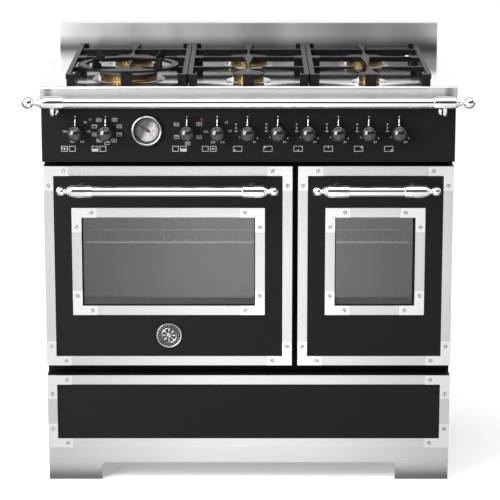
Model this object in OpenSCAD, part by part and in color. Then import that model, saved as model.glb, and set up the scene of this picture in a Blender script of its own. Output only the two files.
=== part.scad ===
// Range cooker: a gas hob with six burners over two ovens and a storage drawer.
// Millimetres, +Z up. The front faces -Y, X runs to the right as seen from the front, and the
// origin lies on the floor below the middle of the whole cooker.
// Every module works in its own frame: y = 0 is the hob's front edge, and y grows towards the rear.

/* [Worktop] */
// Width of the hob top
worktop_w = 900; // [860:5:1000]
// Depth of the hob top, front edge to rear edge
worktop_d = 600; // [590:5:650]
// Height of the hob's front fascia
fascia_h = 47; // [40:1:60]
// Radius of the fascia's top edge
fascia_r = 4; // [2:0.5:6]
// Sheet steel thickness of the covers
sheet = 1.5; // [1:0.1:2]
// Depth of the burner basin below the rim
basin_deep = 4; // [3:0.5:6]
// Rim beside the basin
basin_side = 66; // [60:1:70]
// Rim in front of the basin
basin_front = 48; // [47:1:52]
// Rim behind the basin
basin_rear = 115; // [105:1:118]
// Corner radius of the basin
basin_r = 20; // [10:1:30]
// Height of the backguard above the hob
backguard_h = 61; // [30:1:120]
// Thickness of the backguard's box
backguard_t = 22; // [12:1:40]

/* [Body] */
// Clearance between the hob's skirt and the body inside it
skirt_gap = 0.5; // [0.2:0.1:1]
// Distance of the chassis front frame behind the hob's front edge
chassis_y = 70; // [70:1:74]
// Thickness of the front frame and the base frame
frame_t = 2; // [1.5:0.5:3]
// Distance of the rear cover ahead of the hob's rear edge
rear_set = 25; // [22:1:30]
// Clearance between separate pieces that are seated together
seat_gap = 0.1; // [0.05:0.05:0.2]
// Height of the plinth
plinth_h = 77; // [70:1:90]
// Distance of the plinth behind the hob's front edge
plinth_set = 40; // [30:1:60]
// Width of each plinth leg
plinth_leg_w = 119; // [80:1:150]
// Height of the opening under the plinth
plinth_gap_h = 39; // [20:1:50]
// Corner radius of the plinth's legs
plinth_r = 10; // [4:1:14]
// Radius of a levelling foot's pad
foot_r = 22; // [15:1:26]
// Radius of a levelling foot's screw
foot_screw_r = 6; // [4:0.5:8]
// Thickness of a levelling foot's pad
foot_h = 10; // [6:1:14]

/* [Control panel] */
// Height of the control panel
panel_h = 120; // [112:1:130]
// Distance of the panel's face behind the hob's front edge
panel_set = 10; // [8:1:14]
// Height of the knobs above the panel's lower edge
knob_z = 67; // [60:1:70]
// Distance between neighbouring knobs
knob_pitch = 65.5; // [64:0.5:68]
// Distance of the left oven's first knob from the body's side
first_knob = 73.5; // [68:0.5:76]
// Distance of the right oven's first knob from the left oven's
second_pair = 241.5; // [240:0.5:244]
// Distance of the first burner knob from the left oven's first knob
burner_row = 372.5; // [371:0.5:375]
// Radius of a knob's ball
knob_r = 17.5; // [15:0.5:20]
// Distance of a knob's ball centre in front of the panel
knob_reach = 27; // [26:0.5:32]
// Radius of a knob's base disc
knob_base_r = 11; // [10:0.5:14]
// Reach of a knob's pointer above its centre
pointer_reach = 29; // [26:0.5:31]
// Travel of a burner knob when it is pushed in
knob_push = 3; // [2:0.5:3]
// Radius of a burner knob's spindle
spindle_r = 4; // [3:0.5:5]
// Radius of an oven knob's shaft
shaft_r = 3; // [2.5:0.5:4]
// Running clearance round spindles, shafts and pins
run_gap = 0.05; // [0.02:0.01:0.1]
// Distance of the gauge from the left oven's first knob
gauge_along = 154.5; // [152:0.5:157]
// Height of the gauge above the knobs
gauge_up = 3; // [0:0.5:6]
// Radius of the gauge's bezel
gauge_r = 33; // [30:0.5:35]
// Radius of the gauge's dial
dial_r = 24.8; // [20:0.2:27]
// Radius of an indicator lamp's lens
lamp_r = 3.4; // [2.5:0.1:5]
// Height of the indicator lamps above the knobs
lamp_up = 26; // [24:0.5:30]

/* [Doors and drawer] */
// Height of the oven doors
door_h = 450; // [440:1:460]
// Width of the left door
door_left_w = 543; // [530:1:550]
// Gap between the doors
door_between = 12; // [6:1:16]
// Set-back of the doors and the drawer from the body's side
reveal = 1; // [0.5:0.5:3]
// Gap between the doors and the control panel
panel_gap = 11.3; // [8:0.1:14]
// Gap between the drawer and the doors
drawer_gap = 22.7; // [20:0.1:26]
// Height of the drawer's front
drawer_h = 168; // [164:1:180]
// Gap between the plinth and the drawer
plinth_gap = 4; // [2:0.5:8]
// Distance of the door trim's face behind the hob's front edge
leaf_set = 20; // [18:1:22]
// Thickness of a door
leaf_t = 45; // [43:1:46]
// Width of the steel trim strips
strip_w = 21.5; // [18:0.5:26]
// Thickness of the steel trim strips
strip_t = 2; // [1.5:0.5:3]
// Length of a corner bracket's arms
bracket_l = 54.5; // [50:0.5:62]
// Thickness of a corner bracket
bracket_t = 0.8; // [0.6:0.1:1.5]
// Distance of a bracket's screws from its corner
screw_at = 43.5; // [38:0.5:46]
// Radius of a trim screw's head
screw_r = 4; // [3:0.5:5]
// Radius of a trim screw's shank
shank_r = 2; // [1.5:0.5:2.5]
// Margin of the window trim from the door's sides
window_side = 60; // [55:1:65]
// Margin of the window trim from the door's lower edge
window_low = 115.3; // [105:0.1:120]
// Height of the window, over its trim
window_h = 242; // [220:1:255]
// Thickness of a glass pane
glass_t = 4; // [3:0.5:6]
// Width of glass held behind a window's edge
glass_lap = 12; // [8:1:20]
// Radius of the medallion on the left door
medal_r = 28; // [20:1:34]
// Height of the medallion above the door's lower edge
medal_up = 69; // [56:1:72]
// Distance of a door's hinge pin above its lower edge
hinge_up = 12; // [10:0.5:14]
// Distance of a door's hinge pin behind the trim's face
hinge_in = 25; // [24:0.5:27]
// Distance of a hinge from the door's side
hinge_side = 50; // [30:1:70]
// Radius of the hinge pins
pin_r = 4; // [3:0.5:5]
// Thickness of a hinge bracket's arm
arm_t = 8; // [6:0.5:10]
// Clearance on each side of a hinge bracket's arm
arm_gap = 1; // [0.5:0.1:1.5]

/* [Handles and rail] */
// Height of the handles above the doors' lower edge
handle_up = 404.3; // [395:0.1:412]
// Distance of a handle's end ball from the door's side
handle_side = 41.5; // [38:0.5:50]
// Distance of the handles in front of the trim's face
handle_reach = 50; // [45:1:60]
// Radius of the handles' tube
handle_r = 11; // [8:0.5:12]
// Radius of a handle's swelling
handle_swell_r = 13.7; // [12.5:0.1:15]
// Radius of a handle's end ball
handle_ball_r = 10.5; // [9:0.5:12]
// Height of the towel rail below the hob's top
rail_down = 27; // [24:1:30]
// Distance of the towel rail in front of the hob's edge
rail_reach = 50; // [45:1:60]
// Distance of the rail's end balls beyond the hob's side
rail_over = 21; // [14:1:30]
// Radius of the rail's tube
rail_r = 10.5; // [8:0.5:12]
// Radius of the rail's swellings
rail_swell_r = 15.2; // [13:0.1:16]
// Radius of the rail's end balls
rail_ball_r = 13; // [11:0.5:15]
// Length of a swelling on the rail and the handles
swell_l = 47.5; // [40:0.5:50]
// Length of the collar beside a swelling
collar_l = 9; // [6:0.5:12]
// Radius of the rail's bracket rods
rail_rod_r = 5.3; // [4:0.1:7]

/* [Ovens] */
// Width inside the left oven
oven_left_w = 440; // [420:5:445]
// Width inside the right oven
oven_right_w = 240; // [225:5:245]
// Height of the ovens' floor above the doors' lower edge
oven_low = 43.3; // [42:0.1:50]
// Height inside the ovens
oven_h = 375; // [350:5:380]
// Distance of the ovens' rear wall ahead of the rear cover
oven_room = 63; // [60:1:80]
// Width of an oven's front flange
oven_flange = 12; // [10:1:14]
// Height of the racks above the ovens' floor
rack_up = 222; // [210:1:235]
// Radius of a rack's frame wire
rack_r = 3; // [2.5:0.5:3.5]
// Radius of a rack's grid wires
grid_r = 1.7; // [1.5:0.1:2]
// Distance between a rack's grid wires
grid_pitch = 24; // [20:1:30]
// Radius of the side ladders' wires
guide_r = 2.5; // [2:0.1:2.5]
// Height between two rack levels
level_pitch = 62; // [60:1:66]
// Radius of the fan's disc
fan_r = 68; // [50:1:80]
// Number of the fan's blades
fan_blades = 10; // [6:1:14]
// Radius of the heating tubes
heater_r = 3.2; // [2.5:0.1:4]

/* [Drawer box] */
// Distance of the drawer's box ahead of the rear cover
box_room = 60; // [50:5:120]
// Height of the drawer's box
box_h = 125; // [80:1:130]
// Distance of the runners' rear end ahead of the drawer box's
runner_short = 3; // [1:1:20]
// Width of the runners, wall to drawer
runner_w = 12.7; // [12:0.1:16]
// Height of the fixed runner
runner_h = 45; // [40:1:50]
// Thickness of the runner's steel
runner_t = 1.2; // [1:0.1:1.4]
// Running clearance between the runner's members
runner_gap = 0.3; // [0.2:0.05:0.4]

/* [Hob] */
// Width of one pan support
grate_w = 262; // [256:1:263]
// Gap between neighbouring pan supports
grate_between = 2; // [1:0.5:3]
// Front end of the pan supports
grate_front = 22; // [20:1:24]
// Rear end of the pan supports
grate_rear = 500; // [498:1:506]
// Height of the pan supports above the rim
grate_up = 23; // [22:1:26]
// Height of a pan support's bars
bar_h = 11; // [8:1:12]
// Width of a pan support's bars
bar_w = 10; // [8:0.5:12]
// Width of a pan support's feet
grate_foot_w = 24; // [18:1:24]
// Distance of the burners' columns from the middle
burner_x = 264; // [262:1:268]
// Distance of the rear burners behind the hob's edge
rear_burner_y = 345; // [340:1:350]
// Distance of the wok burner behind the hob's edge
wok_burner_y = 135; // [130:1:140]
// Distance of the middle front burner behind the hob's edge
middle_burner_y = 107; // [104:1:112]
// Distance of the small burner behind the hob's edge
small_burner_y = 95; // [92:1:100]
// Radius of the wok burner's crown
wok_crown_r = 63; // [55:1:65]
// Radius of the rear burners' crowns
rear_crown_r = 42; // [36:1:45]
// Radius of the middle front burner's crown
middle_crown_r = 33; // [28:1:34]
// Radius of the small burner's crown
small_crown_r = 22; // [18:1:24]
// Height of a burner's crown
crown_h = 11.5; // [9:0.5:12]
// Thickness of a burner's cap
cap_t = 5; // [4:0.5:6]
// Outer radius of the wok ring
wok_r = 109; // [100:1:115]
// Width of the wok ring
wok_ring_w = 14; // [10:1:16]
// Thickness of the wok ring
wok_ring_t = 5; // [4:0.5:8]
// Height of the wok ring's fins
fin_h = 22; // [16:1:30]

/* [Connections] */
// Radius of the gas inlet's thread
gas_inlet_r = 10.48; // [8:0.01:14]
// Length of the gas inlet's thread behind the rear cover
gas_thread_l = 20; // [12:1:21]
// Radius of the manifold's pipe
manifold_r = 9; // [7:0.5:10]
// Distance of the gas inlet from the rear cover's side
gas_inlet_side = 22.4; // [20:0.1:24]
// Radius of the cable inlet
cable_inlet_r = 8; // [5:0.5:12]
// Height of the cable inlet above the floor
cable_inlet_z = 620; // [560:5:680]
// Distance of the cable inlet from the rear cover's side
cable_inlet_side = 146.4; // [120:0.1:180]

/* [Hidden] */
$fn = 64;
e = 0.01;

// heights, stacked from the floor up
drawer_z = plinth_h + plinth_gap;
door_z = drawer_z + drawer_h + drawer_gap;
panel_z = door_z + door_h + panel_gap;
fascia_z = panel_z + panel_h;
worktop_z = fascia_z + fascia_h;
deck_under = worktop_z - sheet;
basin_z = worktop_z - basin_deep;
basin_under = basin_z - sheet;

// widths and depths
origin_y = (worktop_d - rail_reach - rail_ball_r) / 2;
body_w = worktop_w - 2 * (sheet + skirt_gap);
body_x = body_w / 2;
inner_x = body_x - sheet - seat_gap;
side_y = chassis_y + frame_t;
rear_y = worktop_d - rear_set;
side_rear_y = worktop_d - sheet - skirt_gap;
leaf_w = body_w - 2 * reveal;
door_left_x = -leaf_w / 2;
door_right_x = door_left_x + door_left_w + door_between;
door_right_w = leaf_w - door_left_w - door_between;
door_left_mid = door_left_x + door_left_w / 2;
door_right_mid = door_right_x + door_right_w / 2;
leaf_back = leaf_set + leaf_t;
skin_y = leaf_set + strip_t;
hinge_y = leaf_set + hinge_in;
hinge_z = door_z + hinge_up;
shelf_z = door_z - 10;
oven_z = door_z + oven_low;
oven_y = side_y;
oven_back = rear_y - oven_room;

// control panel
knobs_z = panel_z + knob_z;
knob_y = panel_set - knob_reach;
knob_base_t = 2.5;
knob_lift = knob_push + 1;
oven_left_knob_x = first_knob - body_x;
oven_right_knob_x = oven_left_knob_x + second_pair;
gauge_x = oven_left_knob_x + gauge_along;
burner_knobs = [for (i = [0 : 5]) oven_left_knob_x + burner_row + i * knob_pitch];
oven_knobs = [oven_left_knob_x, oven_left_knob_x + knob_pitch,
    oven_right_knob_x, oven_right_knob_x + knob_pitch];
lamp_xs = [oven_left_knob_x + knob_pitch / 2, oven_right_knob_x + knob_pitch / 2];
panel_in = panel_set + sheet;
spindle_hole_r = spindle_r + 2;
spindle_end = 50;
spindle_tip = knob_y + 5;
shaft_end = 38;
gauge_z = knobs_z + gauge_up;
manifold_z = knobs_z - 30;
gauge_depth = 12;
gauge_post_r = 1;
gas_inlet_x = inner_x - gas_inlet_side;
cable_inlet_x = cable_inlet_side - inner_x;
bay_low = panel_z + 10;
bay_high = panel_z + panel_h - 6;

// rail and handles
rail_z = worktop_z - rail_down;
rail_ball_x = worktop_w / 2 + rail_over;
handle_z = door_z + handle_up;
handle_y = leaf_set - handle_reach;

// ovens
wall_off = guide_r + 0.3;
guide_off = wall_off + 4.5;
rack_off = guide_off + 1.7;
rack_z = oven_z + rack_up;
rack_front = side_y + 16;
rack_back = oven_back - 46;
guide_z = rack_z - sqrt(pow(rack_r + guide_r + 0.35, 2) - pow(rack_off - guide_off, 2));
fan_z = oven_z + oven_h / 2;
cover_y = oven_back - 30;
motor_d = 42;
fan_shaft_end = oven_back + 28;

// drawer
runner_z = drawer_z + drawer_h / 2;
upright_x = inner_x - frame_t;
runner_x = upright_x - seat_gap;
box_x = runner_x - runner_w;
box_z = drawer_z + 14;
box_back = rear_y - box_room;
runner_end = box_back - runner_short;
middle_h = runner_h - 2 * (runner_t + runner_gap);
inner_h = middle_h - 2 * (runner_t + runner_gap);
floor_z = plinth_h;

// hob
grate_z = worktop_z + grate_up;
bar_z = grate_z - bar_h;
grate_xs = [-grate_w - grate_between, 0, grate_w + grate_between];
middle_bar_y = 283;
rear_bar_y = 400;
finger_y = 133;
crown_z = basin_z + 2;
cap_top = crown_z + crown_h + cap_t;
finger_z = cap_top + 1.5;
cup_z = basin_z - 28;
wok_z = grate_z + 0.3;
burners = [[-burner_x, wok_burner_y, wok_crown_r], [-burner_x, rear_burner_y, rear_crown_r],
    [0, middle_burner_y, middle_crown_r], [0, rear_burner_y, rear_crown_r],
    [burner_x, rear_burner_y, rear_crown_r], [burner_x, small_burner_y, small_crown_r]];
spark_angle = 205;
spark_r = 3;

// colours
steel = [0.78, 0.78, 0.79];
dark = [0.17, 0.17, 0.17];
zinc = [0.62, 0.64, 0.66];

// Moves a module's own frame, with y = 0 at the hob's front edge, to the cooker's origin.
module placed() { translate([0, -origin_y, 0]) children(); }

// A box from one corner to the opposite one.
module span(low, high) { translate(low) cube(high - low); }

// A cylinder along Y from y0 to y1.
module along_y(x, z, r, y0, y1) { translate([x, y0, z]) rotate([-90, 0, 0]) cylinder(r = r, h = y1 - y0); }

// A cylinder along X from x0 to x1.
module along_x(y, z, r, x0, x1) { translate([x0, y, z]) rotate([0, 90, 0]) cylinder(r = r, h = x1 - x0); }

// A cylinder along Z from z0 to z1.
module along_z(x, y, r, z0, z1) { translate([x, y, z0]) cylinder(r = r, h = z1 - z0); }

// A rectangle with round corners, from one corner to the opposite one.
module rounded(low, high, r) {
    translate([low[0] + r, low[1]]) square([high[0] - low[0] - 2 * r, high[1] - low[1]]);
    translate([low[0], low[1] + r]) square([high[0] - low[0], high[1] - low[1] - 2 * r]);
    for (x = [low[0] + r, high[0] - r]) for (y = [low[1] + r, high[1] - r]) translate([x, y]) circle(r);
}

// A plate in the XZ plane: the 2D shape's x and y become x and z, and it fills y0 to y1.
module upright_plate(y0, y1) { translate([0, y1, 0]) rotate([90, 0, 0]) linear_extrude(y1 - y0) children(); }

// A picture frame in the XZ plane, w wide and h high outside, with strips of one width.
module ring_plate(x, z, w, h, strip, y0, y1) {
    upright_plate(y0, y1) difference() {
        translate([x, z]) square([w, h]);
        translate([x + strip, z + strip]) square([w - 2 * strip, h - 2 * strip]);
    }
}

// A barrel along X, thinner at its ends, as one turned surface.
module barrel(x, y, z, length, r_end, r_mid) {
    rise = r_mid - r_end;
    big = (length * length / 4 + rise * rise) / (2 * rise);
    translate([x, y, z]) rotate([0, 90, 0]) rotate_extrude() intersection() {
        translate([r_mid - big, 0]) circle(big, $fn = 200);
        translate([0, -length / 2]) square([r_mid + 1, length]);
    }
}

// --- sheet metal of the body ---

module side_panels() color(dark) placed() for (side = [-1, 1]) mirror([side < 0 ? 1 : 0, 0, 0]) {
    span([body_x - sheet, side_y, plinth_h], [body_x, side_rear_y, deck_under]);
}

module rear_cover() color(zinc) placed() {
    vents = 7;
    vent_h = 6;
    vent_pitch = 14;
    vent_w = 180;
    vent_mid = 160;
    vent_z = panel_z + 27;
    gland_r = cable_inlet_r + 3;
    gland_y = rear_y + 6;
    difference() {
        span([-inner_x, rear_y - sheet, plinth_h + frame_t], [inner_x, rear_y, deck_under]);
        along_y(gas_inlet_x, manifold_z, manifold_r + 0.3, rear_y - 5, rear_y + 5);
        along_y(cable_inlet_x, cable_inlet_z, gland_r, rear_y - 5, rear_y + 5);
        for (i = [0 : vents - 1]) for (x = [-vent_mid, vent_mid])
            span([x - vent_w / 2, rear_y - 5, vent_z + i * vent_pitch],
                [x + vent_w / 2, rear_y + 5, vent_z + vent_h + i * vent_pitch]);
    }
    difference() {
        union() {
            along_y(cable_inlet_x, cable_inlet_z, gland_r - seat_gap, rear_y - 16, gland_y);
            along_y(cable_inlet_x, cable_inlet_z, gland_r + 5, rear_y + seat_gap, gland_y);
        }
        along_y(cable_inlet_x, cable_inlet_z, cable_inlet_r, rear_y - 20, gland_y + 4);
    }
}

// A runner member with an open side: web at x_web, flanges reaching x_open.
module channel(x_web, x_open, h, y0, y1) {
    low = min(x_web, x_open);
    high = max(x_web, x_open);
    web = x_web > x_open ? x_web - runner_t : x_web;
    for (z = [runner_z - h / 2, runner_z + h / 2 - runner_t]) span([low, y0, z], [high, y1, z + runner_t]);
    span([web, y0, runner_z - h / 2], [web + runner_t, y1, runner_z + h / 2]);
}

module base_frame() color(zinc) placed() {
    difference() {
        span([-inner_x, side_y, floor_z], [inner_x, rear_y - sheet, shelf_z + frame_t]);
        span([-upright_x, side_y - 1, floor_z + frame_t], [upright_x, rear_y, shelf_z]);
    }
    for (side = [0, 1]) mirror([side, 0, 0])
        channel(runner_x, box_x + runner_t + 1.4, runner_h, side_y, runner_end);
}

module plinth() color(dark) placed() {
    back = rear_y - 40;
    lip = 22;
    side_leg = 90;
    difference() {
        span([-body_x, plinth_set, 0], [body_x, back, plinth_h]);
        span([-body_x + frame_t, plinth_set + frame_t, -1], [body_x - frame_t, back + 1, plinth_h - frame_t]);
        span([-body_x + lip, side_y + lip, 0], [body_x - lip, back + 1, plinth_h + 1]);
        upright_plate(plinth_set - 1, plinth_set + frame_t + 1) {
            rounded([-body_x + plinth_leg_w, -plinth_r - 1], [body_x - plinth_leg_w, plinth_gap_h], plinth_r);
            translate([-body_x + plinth_leg_w, -1]) square([body_w - 2 * plinth_leg_w, plinth_r + 1]);
        }
        span([-body_x - 1, plinth_set + side_leg, -1], [body_x + 1, back - side_leg, plinth_gap_h]);
    }
}

module levelling_feet() color(dark) placed() for (x = [-1, 1]) for (y = [side_y + 60, rear_y - 90]) {
    foot_x = x * (body_x - 60);
    along_z(foot_x, y, foot_r, 0, foot_h);
    along_z(foot_x, y, foot_screw_r, foot_h, floor_z);
}

// A hinge bracket on the front frame: an arm with a round end, and the pin through it.
module hinge_bracket(x) {
    arm_r = 7;
    pin_l = arm_t + 2 * (arm_gap + 8);
    span([x - arm_t / 2, hinge_y, hinge_z - arm_r], [x + arm_t / 2, chassis_y + e, hinge_z + arm_r]);
    along_x(hinge_y, hinge_z, arm_r, x - arm_t / 2, x + arm_t / 2);
    along_x(hinge_y, hinge_z, pin_r, x - pin_l / 2, x + pin_l / 2);
}

module front_frame() color(dark) placed() {
    difference() {
        span([-body_x, chassis_y, plinth_h], [body_x, side_y, basin_under]);
        span([-upright_x, chassis_y - 1, drawer_z + 8], [upright_x, side_y + 1, drawer_z + drawer_h - 8]);
        for (oven = [[door_left_mid, oven_left_w], [door_right_mid, oven_right_w]])
            span([oven[0] - oven[1] / 2, chassis_y - 1, oven_z],
                [oven[0] + oven[1] / 2, side_y + 1, oven_z + oven_h]);
        span([-body_x + 14, chassis_y - 1, bay_low], [body_x - 12, side_y + 1, bay_high]);
    }
    for (x = [door_left_x, door_right_x]) hinge_bracket(x + hinge_side);
    for (x = [door_left_x + door_left_w, door_right_x + door_right_w]) hinge_bracket(x - hinge_side);
}

// --- ovens ---

// An oven's lining: a box open at the front, with a flange that lies behind the front frame.
module oven_cavity(mid, w) {
    low = [mid - w / 2, oven_y, oven_z];
    high = [mid + w / 2, oven_back, oven_z + oven_h];
    wall = [sheet, 0, sheet];
    rim = [oven_flange, 0, oven_flange];
    difference() {
        union() {
            span(low - wall, high + wall + [0, sheet, 0]);
            span(low - rim, [high[0], oven_y + sheet, high[2]] + rim);
        }
        span(low - [0, 1, 0], high);
    }
}

module oven_cavity_left() color(dark) placed() {
    cover_w = 230;
    inlet_r = 6;
    difference() {
        oven_cavity(door_left_mid, oven_left_w);
        along_y(door_left_mid, fan_z, spindle_r + 3, oven_back - 1, oven_back + sheet + 1);
    }
    difference() {
        span([door_left_mid - cover_w / 2, cover_y, fan_z - cover_w / 2],
            [door_left_mid + cover_w / 2, oven_back - seat_gap, fan_z + cover_w / 2]);
        span([door_left_mid - cover_w / 2 + sheet, cover_y + sheet, fan_z - cover_w / 2 + sheet],
            [door_left_mid + cover_w / 2 - sheet, oven_back, fan_z + cover_w / 2 - sheet]);
        for (ring = [[1, 0], [6, 18], [12, 36], [18, 54]]) for (i = [0 : ring[0] - 1])
            along_y(door_left_mid + ring[1] * cos(i * 360 / ring[0]),
                fan_z + ring[1] * sin(i * 360 / ring[0]), inlet_r, cover_y - 1, cover_y + sheet + 1);
        for (x = [-1, 1]) for (z = [-80 : 20 : 80])
            span([door_left_mid + x * (cover_w / 2 - 1) - 2, cover_y + 8, fan_z + z - 6],
                [door_left_mid + x * (cover_w / 2 - 1) + 2, cover_y + 22, fan_z + z + 6]);
    }
}

module oven_cavity_right() color(dark) placed() oven_cavity(door_right_mid, oven_right_w);

module door_seals() color([0.1, 0.1, 0.1]) placed() {
    seal_w = 8;
    for (oven = [[door_left_mid, oven_left_w], [door_right_mid, oven_right_w]])
        upright_plate(leaf_back + 0.3, chassis_y) difference() {
            rounded([oven[0] - oven[1] / 2 - seal_w - 2, oven_z - seal_w - 2],
                [oven[0] + oven[1] / 2 + seal_w + 2, oven_z + oven_h + seal_w + 2], 14);
            rounded([oven[0] - oven[1] / 2 - 2, oven_z - 2],
                [oven[0] + oven[1] / 2 + 2, oven_z + oven_h + 2], 6);
        }
}

// A wire ladder on one wall of an oven: two posts and five pairs of rails.
// side is 1 for a wall on the right of the oven and -1 for one on its left.
module ladder(wall_x, side) {
    post_x = wall_x - side * wall_off;
    rail_x = wall_x - side * guide_off;
    low = guide_z - 3 * level_pitch - 10;
    high = guide_z + level_pitch + 24;
    for (y = [oven_y + 45, oven_back - 75]) along_z(post_x, y, guide_r, low, high);
    for (i = [-3 : 1]) for (z = [guide_z, guide_z + 12])
        along_y(rail_x, z + i * level_pitch, guide_r, rack_front, oven_back - 50);
}

module rack_guides() color(steel) placed()
    for (oven = [[door_left_mid, oven_left_w], [door_right_mid, oven_right_w]]) for (side = [-1, 1])
        ladder(oven[0] + side * oven[1] / 2, side);

// A heating tube that runs to and fro: legs along Y joined by half rings, with both ends in the rear wall.
module serpentine(mid, z, pitch, turns, y0, y1) {
    legs = 2 * turns;
    first = mid - (legs - 1) * pitch / 2;
    for (i = [0 : legs - 1])
        along_y(first + i * pitch, z, heater_r, y0, (i == 0 || i == legs - 1) ? oven_back : y1);
    for (i = [0 : legs - 2]) translate([first + (i + 0.5) * pitch, i % 2 == 0 ? y0 : y1, z])
        rotate([0, 0, i % 2 == 0 ? 180 : 0]) rotate_extrude(angle = 180)
            translate([pitch / 2, 0]) circle(heater_r);
}

module heating_elements() color([0.35, 0.33, 0.32]) placed() {
    ring_r = fan_r + 22;
    grill_z = oven_z + oven_h - 26;
    grill_front = oven_y + 70;
    low_z = oven_z + 12;
    low_left = oven_left_w - 140;
    low_right = oven_right_w - 100;
    turn_back = cover_y - 60;
    serpentine(door_left_mid, grill_z, oven_left_w / 8, 3, grill_front, turn_back);
    serpentine(door_right_mid, grill_z, oven_right_w / 5, 2, grill_front, turn_back);
    serpentine(door_left_mid, low_z, low_left, 1, grill_front + low_left * 0.4, turn_back);
    serpentine(door_right_mid, low_z, low_right, 1, grill_front + low_right * 0.3, turn_back);
    translate([door_left_mid, oven_back - 14, fan_z]) rotate([90, 0, 0])
        rotate_extrude() translate([ring_r, 0]) circle(heater_r);
    for (x = [-14, 14]) along_y(door_left_mid + x, fan_z + sqrt(ring_r * ring_r - x * x), heater_r,
        oven_back - 14, oven_back);
}

module fan() color(steel) placed() {
    disc_y = oven_back - 9;
    along_y(door_left_mid, fan_z, fan_r, disc_y, disc_y + 1.5);
    along_y(door_left_mid, fan_z, 12, disc_y - 12, disc_y + 1);
    along_y(door_left_mid, fan_z, spindle_r, disc_y - 14, fan_shaft_end);
    for (i = [0 : fan_blades - 1]) translate([door_left_mid, 0, fan_z]) rotate([0, i * 360 / fan_blades, 0])
        span([34, disc_y - 12, -0.75], [fan_r - 2, disc_y + 0.5, 0.75]);
}

// An oven rack: a rod frame with round corners, two cross rods and a grid of thin wires on them.
module rack(mid, w) {
    half = w / 2 - rack_off;
    grid_z = rack_z + rack_r + grid_r - 1;
    wires = floor((2 * half - grid_pitch / 2) / grid_pitch);
    for (x = [-half, half]) {
        along_y(mid + x, rack_z, rack_r, rack_front, rack_back);
        for (y = [rack_front, rack_back]) translate([mid + x, y, rack_z]) sphere(rack_r);
    }
    for (y = [rack_front, rack_back]) along_x(y, rack_z, rack_r, mid - half, mid + half);
    for (i = [1, 2]) along_x(rack_front + i * (rack_back - rack_front) / 3, rack_z, rack_r - 0.4,
        mid - half, mid + half);
    for (i = [0 : wires]) along_y(mid + (i - wires / 2) * grid_pitch, grid_z, grid_r,
        rack_front, rack_back);
}

module rack_left() color(steel) placed() rack(door_left_mid, oven_left_w);
module rack_right() color(steel) placed() rack(door_right_mid, oven_right_w);

// --- hob ---

module worktop() color(steel) placed() {
    basin_low = [-worktop_w / 2 + basin_side, basin_front];
    basin_high = [worktop_w / 2 - basin_side, worktop_d - basin_rear];
    difference() {
        union() {
            difference() {
                translate([worktop_w / 2, 0, 0]) rotate([90, 0, -90]) linear_extrude(worktop_w) {
                    translate([-worktop_d, fascia_z]) square([worktop_d, fascia_h - fascia_r]);
                    translate([-worktop_d, fascia_z]) square([worktop_d - fascia_r, fascia_h]);
                    translate([-fascia_r, worktop_z - fascia_r]) circle(fascia_r);
                }
                span([-worktop_w / 2 + sheet, sheet, fascia_z - 1],
                    [worktop_w / 2 - sheet, worktop_d - sheet, deck_under]);
            }
            translate([0, 0, basin_under]) linear_extrude(basin_deep + sheet - 0.5)
                rounded(basin_low - [sheet, sheet], basin_high + [sheet, sheet], basin_r + sheet);
        }
        translate([0, 0, basin_z]) linear_extrude(basin_deep + 1) rounded(basin_low, basin_high, basin_r);
        for (b = burners) along_z(b[0], b[1], cup_r(b[2]) + 0.3, basin_under - 1, basin_z + 1);
        for (b = burners) along_z(spark_x(b), spark_y(b), spark_r + 0.3, basin_under - 1, basin_z + 1);
    }
}

function cup_r(crown) = crown * 0.55;
function flange_r(crown) = crown + 20;
function spark_x(b) = b[0] + (b[2] + 5) * cos(spark_angle);
function spark_y(b) = b[1] + (b[2] + 5) * sin(spark_angle);

module backguard() color(steel) placed() difference() {
    span([-worktop_w / 2, worktop_d - backguard_t, worktop_z],
        [worktop_w / 2, worktop_d, worktop_z + backguard_h]);
    span([-worktop_w / 2 + sheet, worktop_d - backguard_t + sheet, worktop_z - 1],
        [worktop_w / 2 - sheet, worktop_d + 1, worktop_z + backguard_h - sheet]);
}

// A burner: a cup through the deck, a spill ring on the basin, and a crown with a slot for each flame.
module burner_crown(x, y, r) {
    slots = 12 + 2 * round(r / 8);
    slot_w = 2.4;
    difference() {
        union() {
            along_z(x, y, cup_r(r), cup_z, basin_z + 1);
            along_z(x, y, flange_r(r) - 4, basin_z, crown_z);
            along_z(x, y, r, crown_z, crown_z + crown_h);
        }
        along_z(x, y, r - 7, crown_z + 2, crown_z + crown_h + 1);
        along_z(spark_x([x, y, r]), spark_y([x, y, r]), spark_r + 0.3, basin_z - 1, crown_z + 1);
        for (i = [0 : slots - 1]) translate([x, y, 0]) rotate(i * 360 / slots)
            span([r - 8, -slot_w / 2, crown_z + crown_h - 5], [r + 1, slot_w / 2, crown_z + crown_h + 1]);
    }
}

module burner_crowns() color([0.72, 0.56, 0.28]) placed() for (b = burners) burner_crown(b[0], b[1], b[2]);

module burner_caps() color([0.1, 0.1, 0.1]) placed() for (b = burners)
    along_z(b[0], b[1], b[2] + 1.5, crown_z + crown_h, crown_z + crown_h + cap_t);

module spark_plugs() color([0.93, 0.92, 0.88]) placed() for (b = burners) {
    along_z(spark_x(b), spark_y(b), spark_r, basin_z - 16, crown_z + crown_h - 5);
    along_z(spark_x(b), spark_y(b), 0.9, crown_z + crown_h - 5, crown_z + crown_h - 1.5);
}

// A wedge bar in plan: a list of [distance along, half width] points, mirrored about its line.
module tapered_bar(points, z0, z1) {
    n = len(points);
    translate([0, 0, z0]) linear_extrude(z1 - z0) polygon(concat(
        [for (p = points) [p[1], p[0]]], [for (i = [n - 1 : -1 : 0]) [-points[i][1], points[i][0]]]));
}

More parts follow.
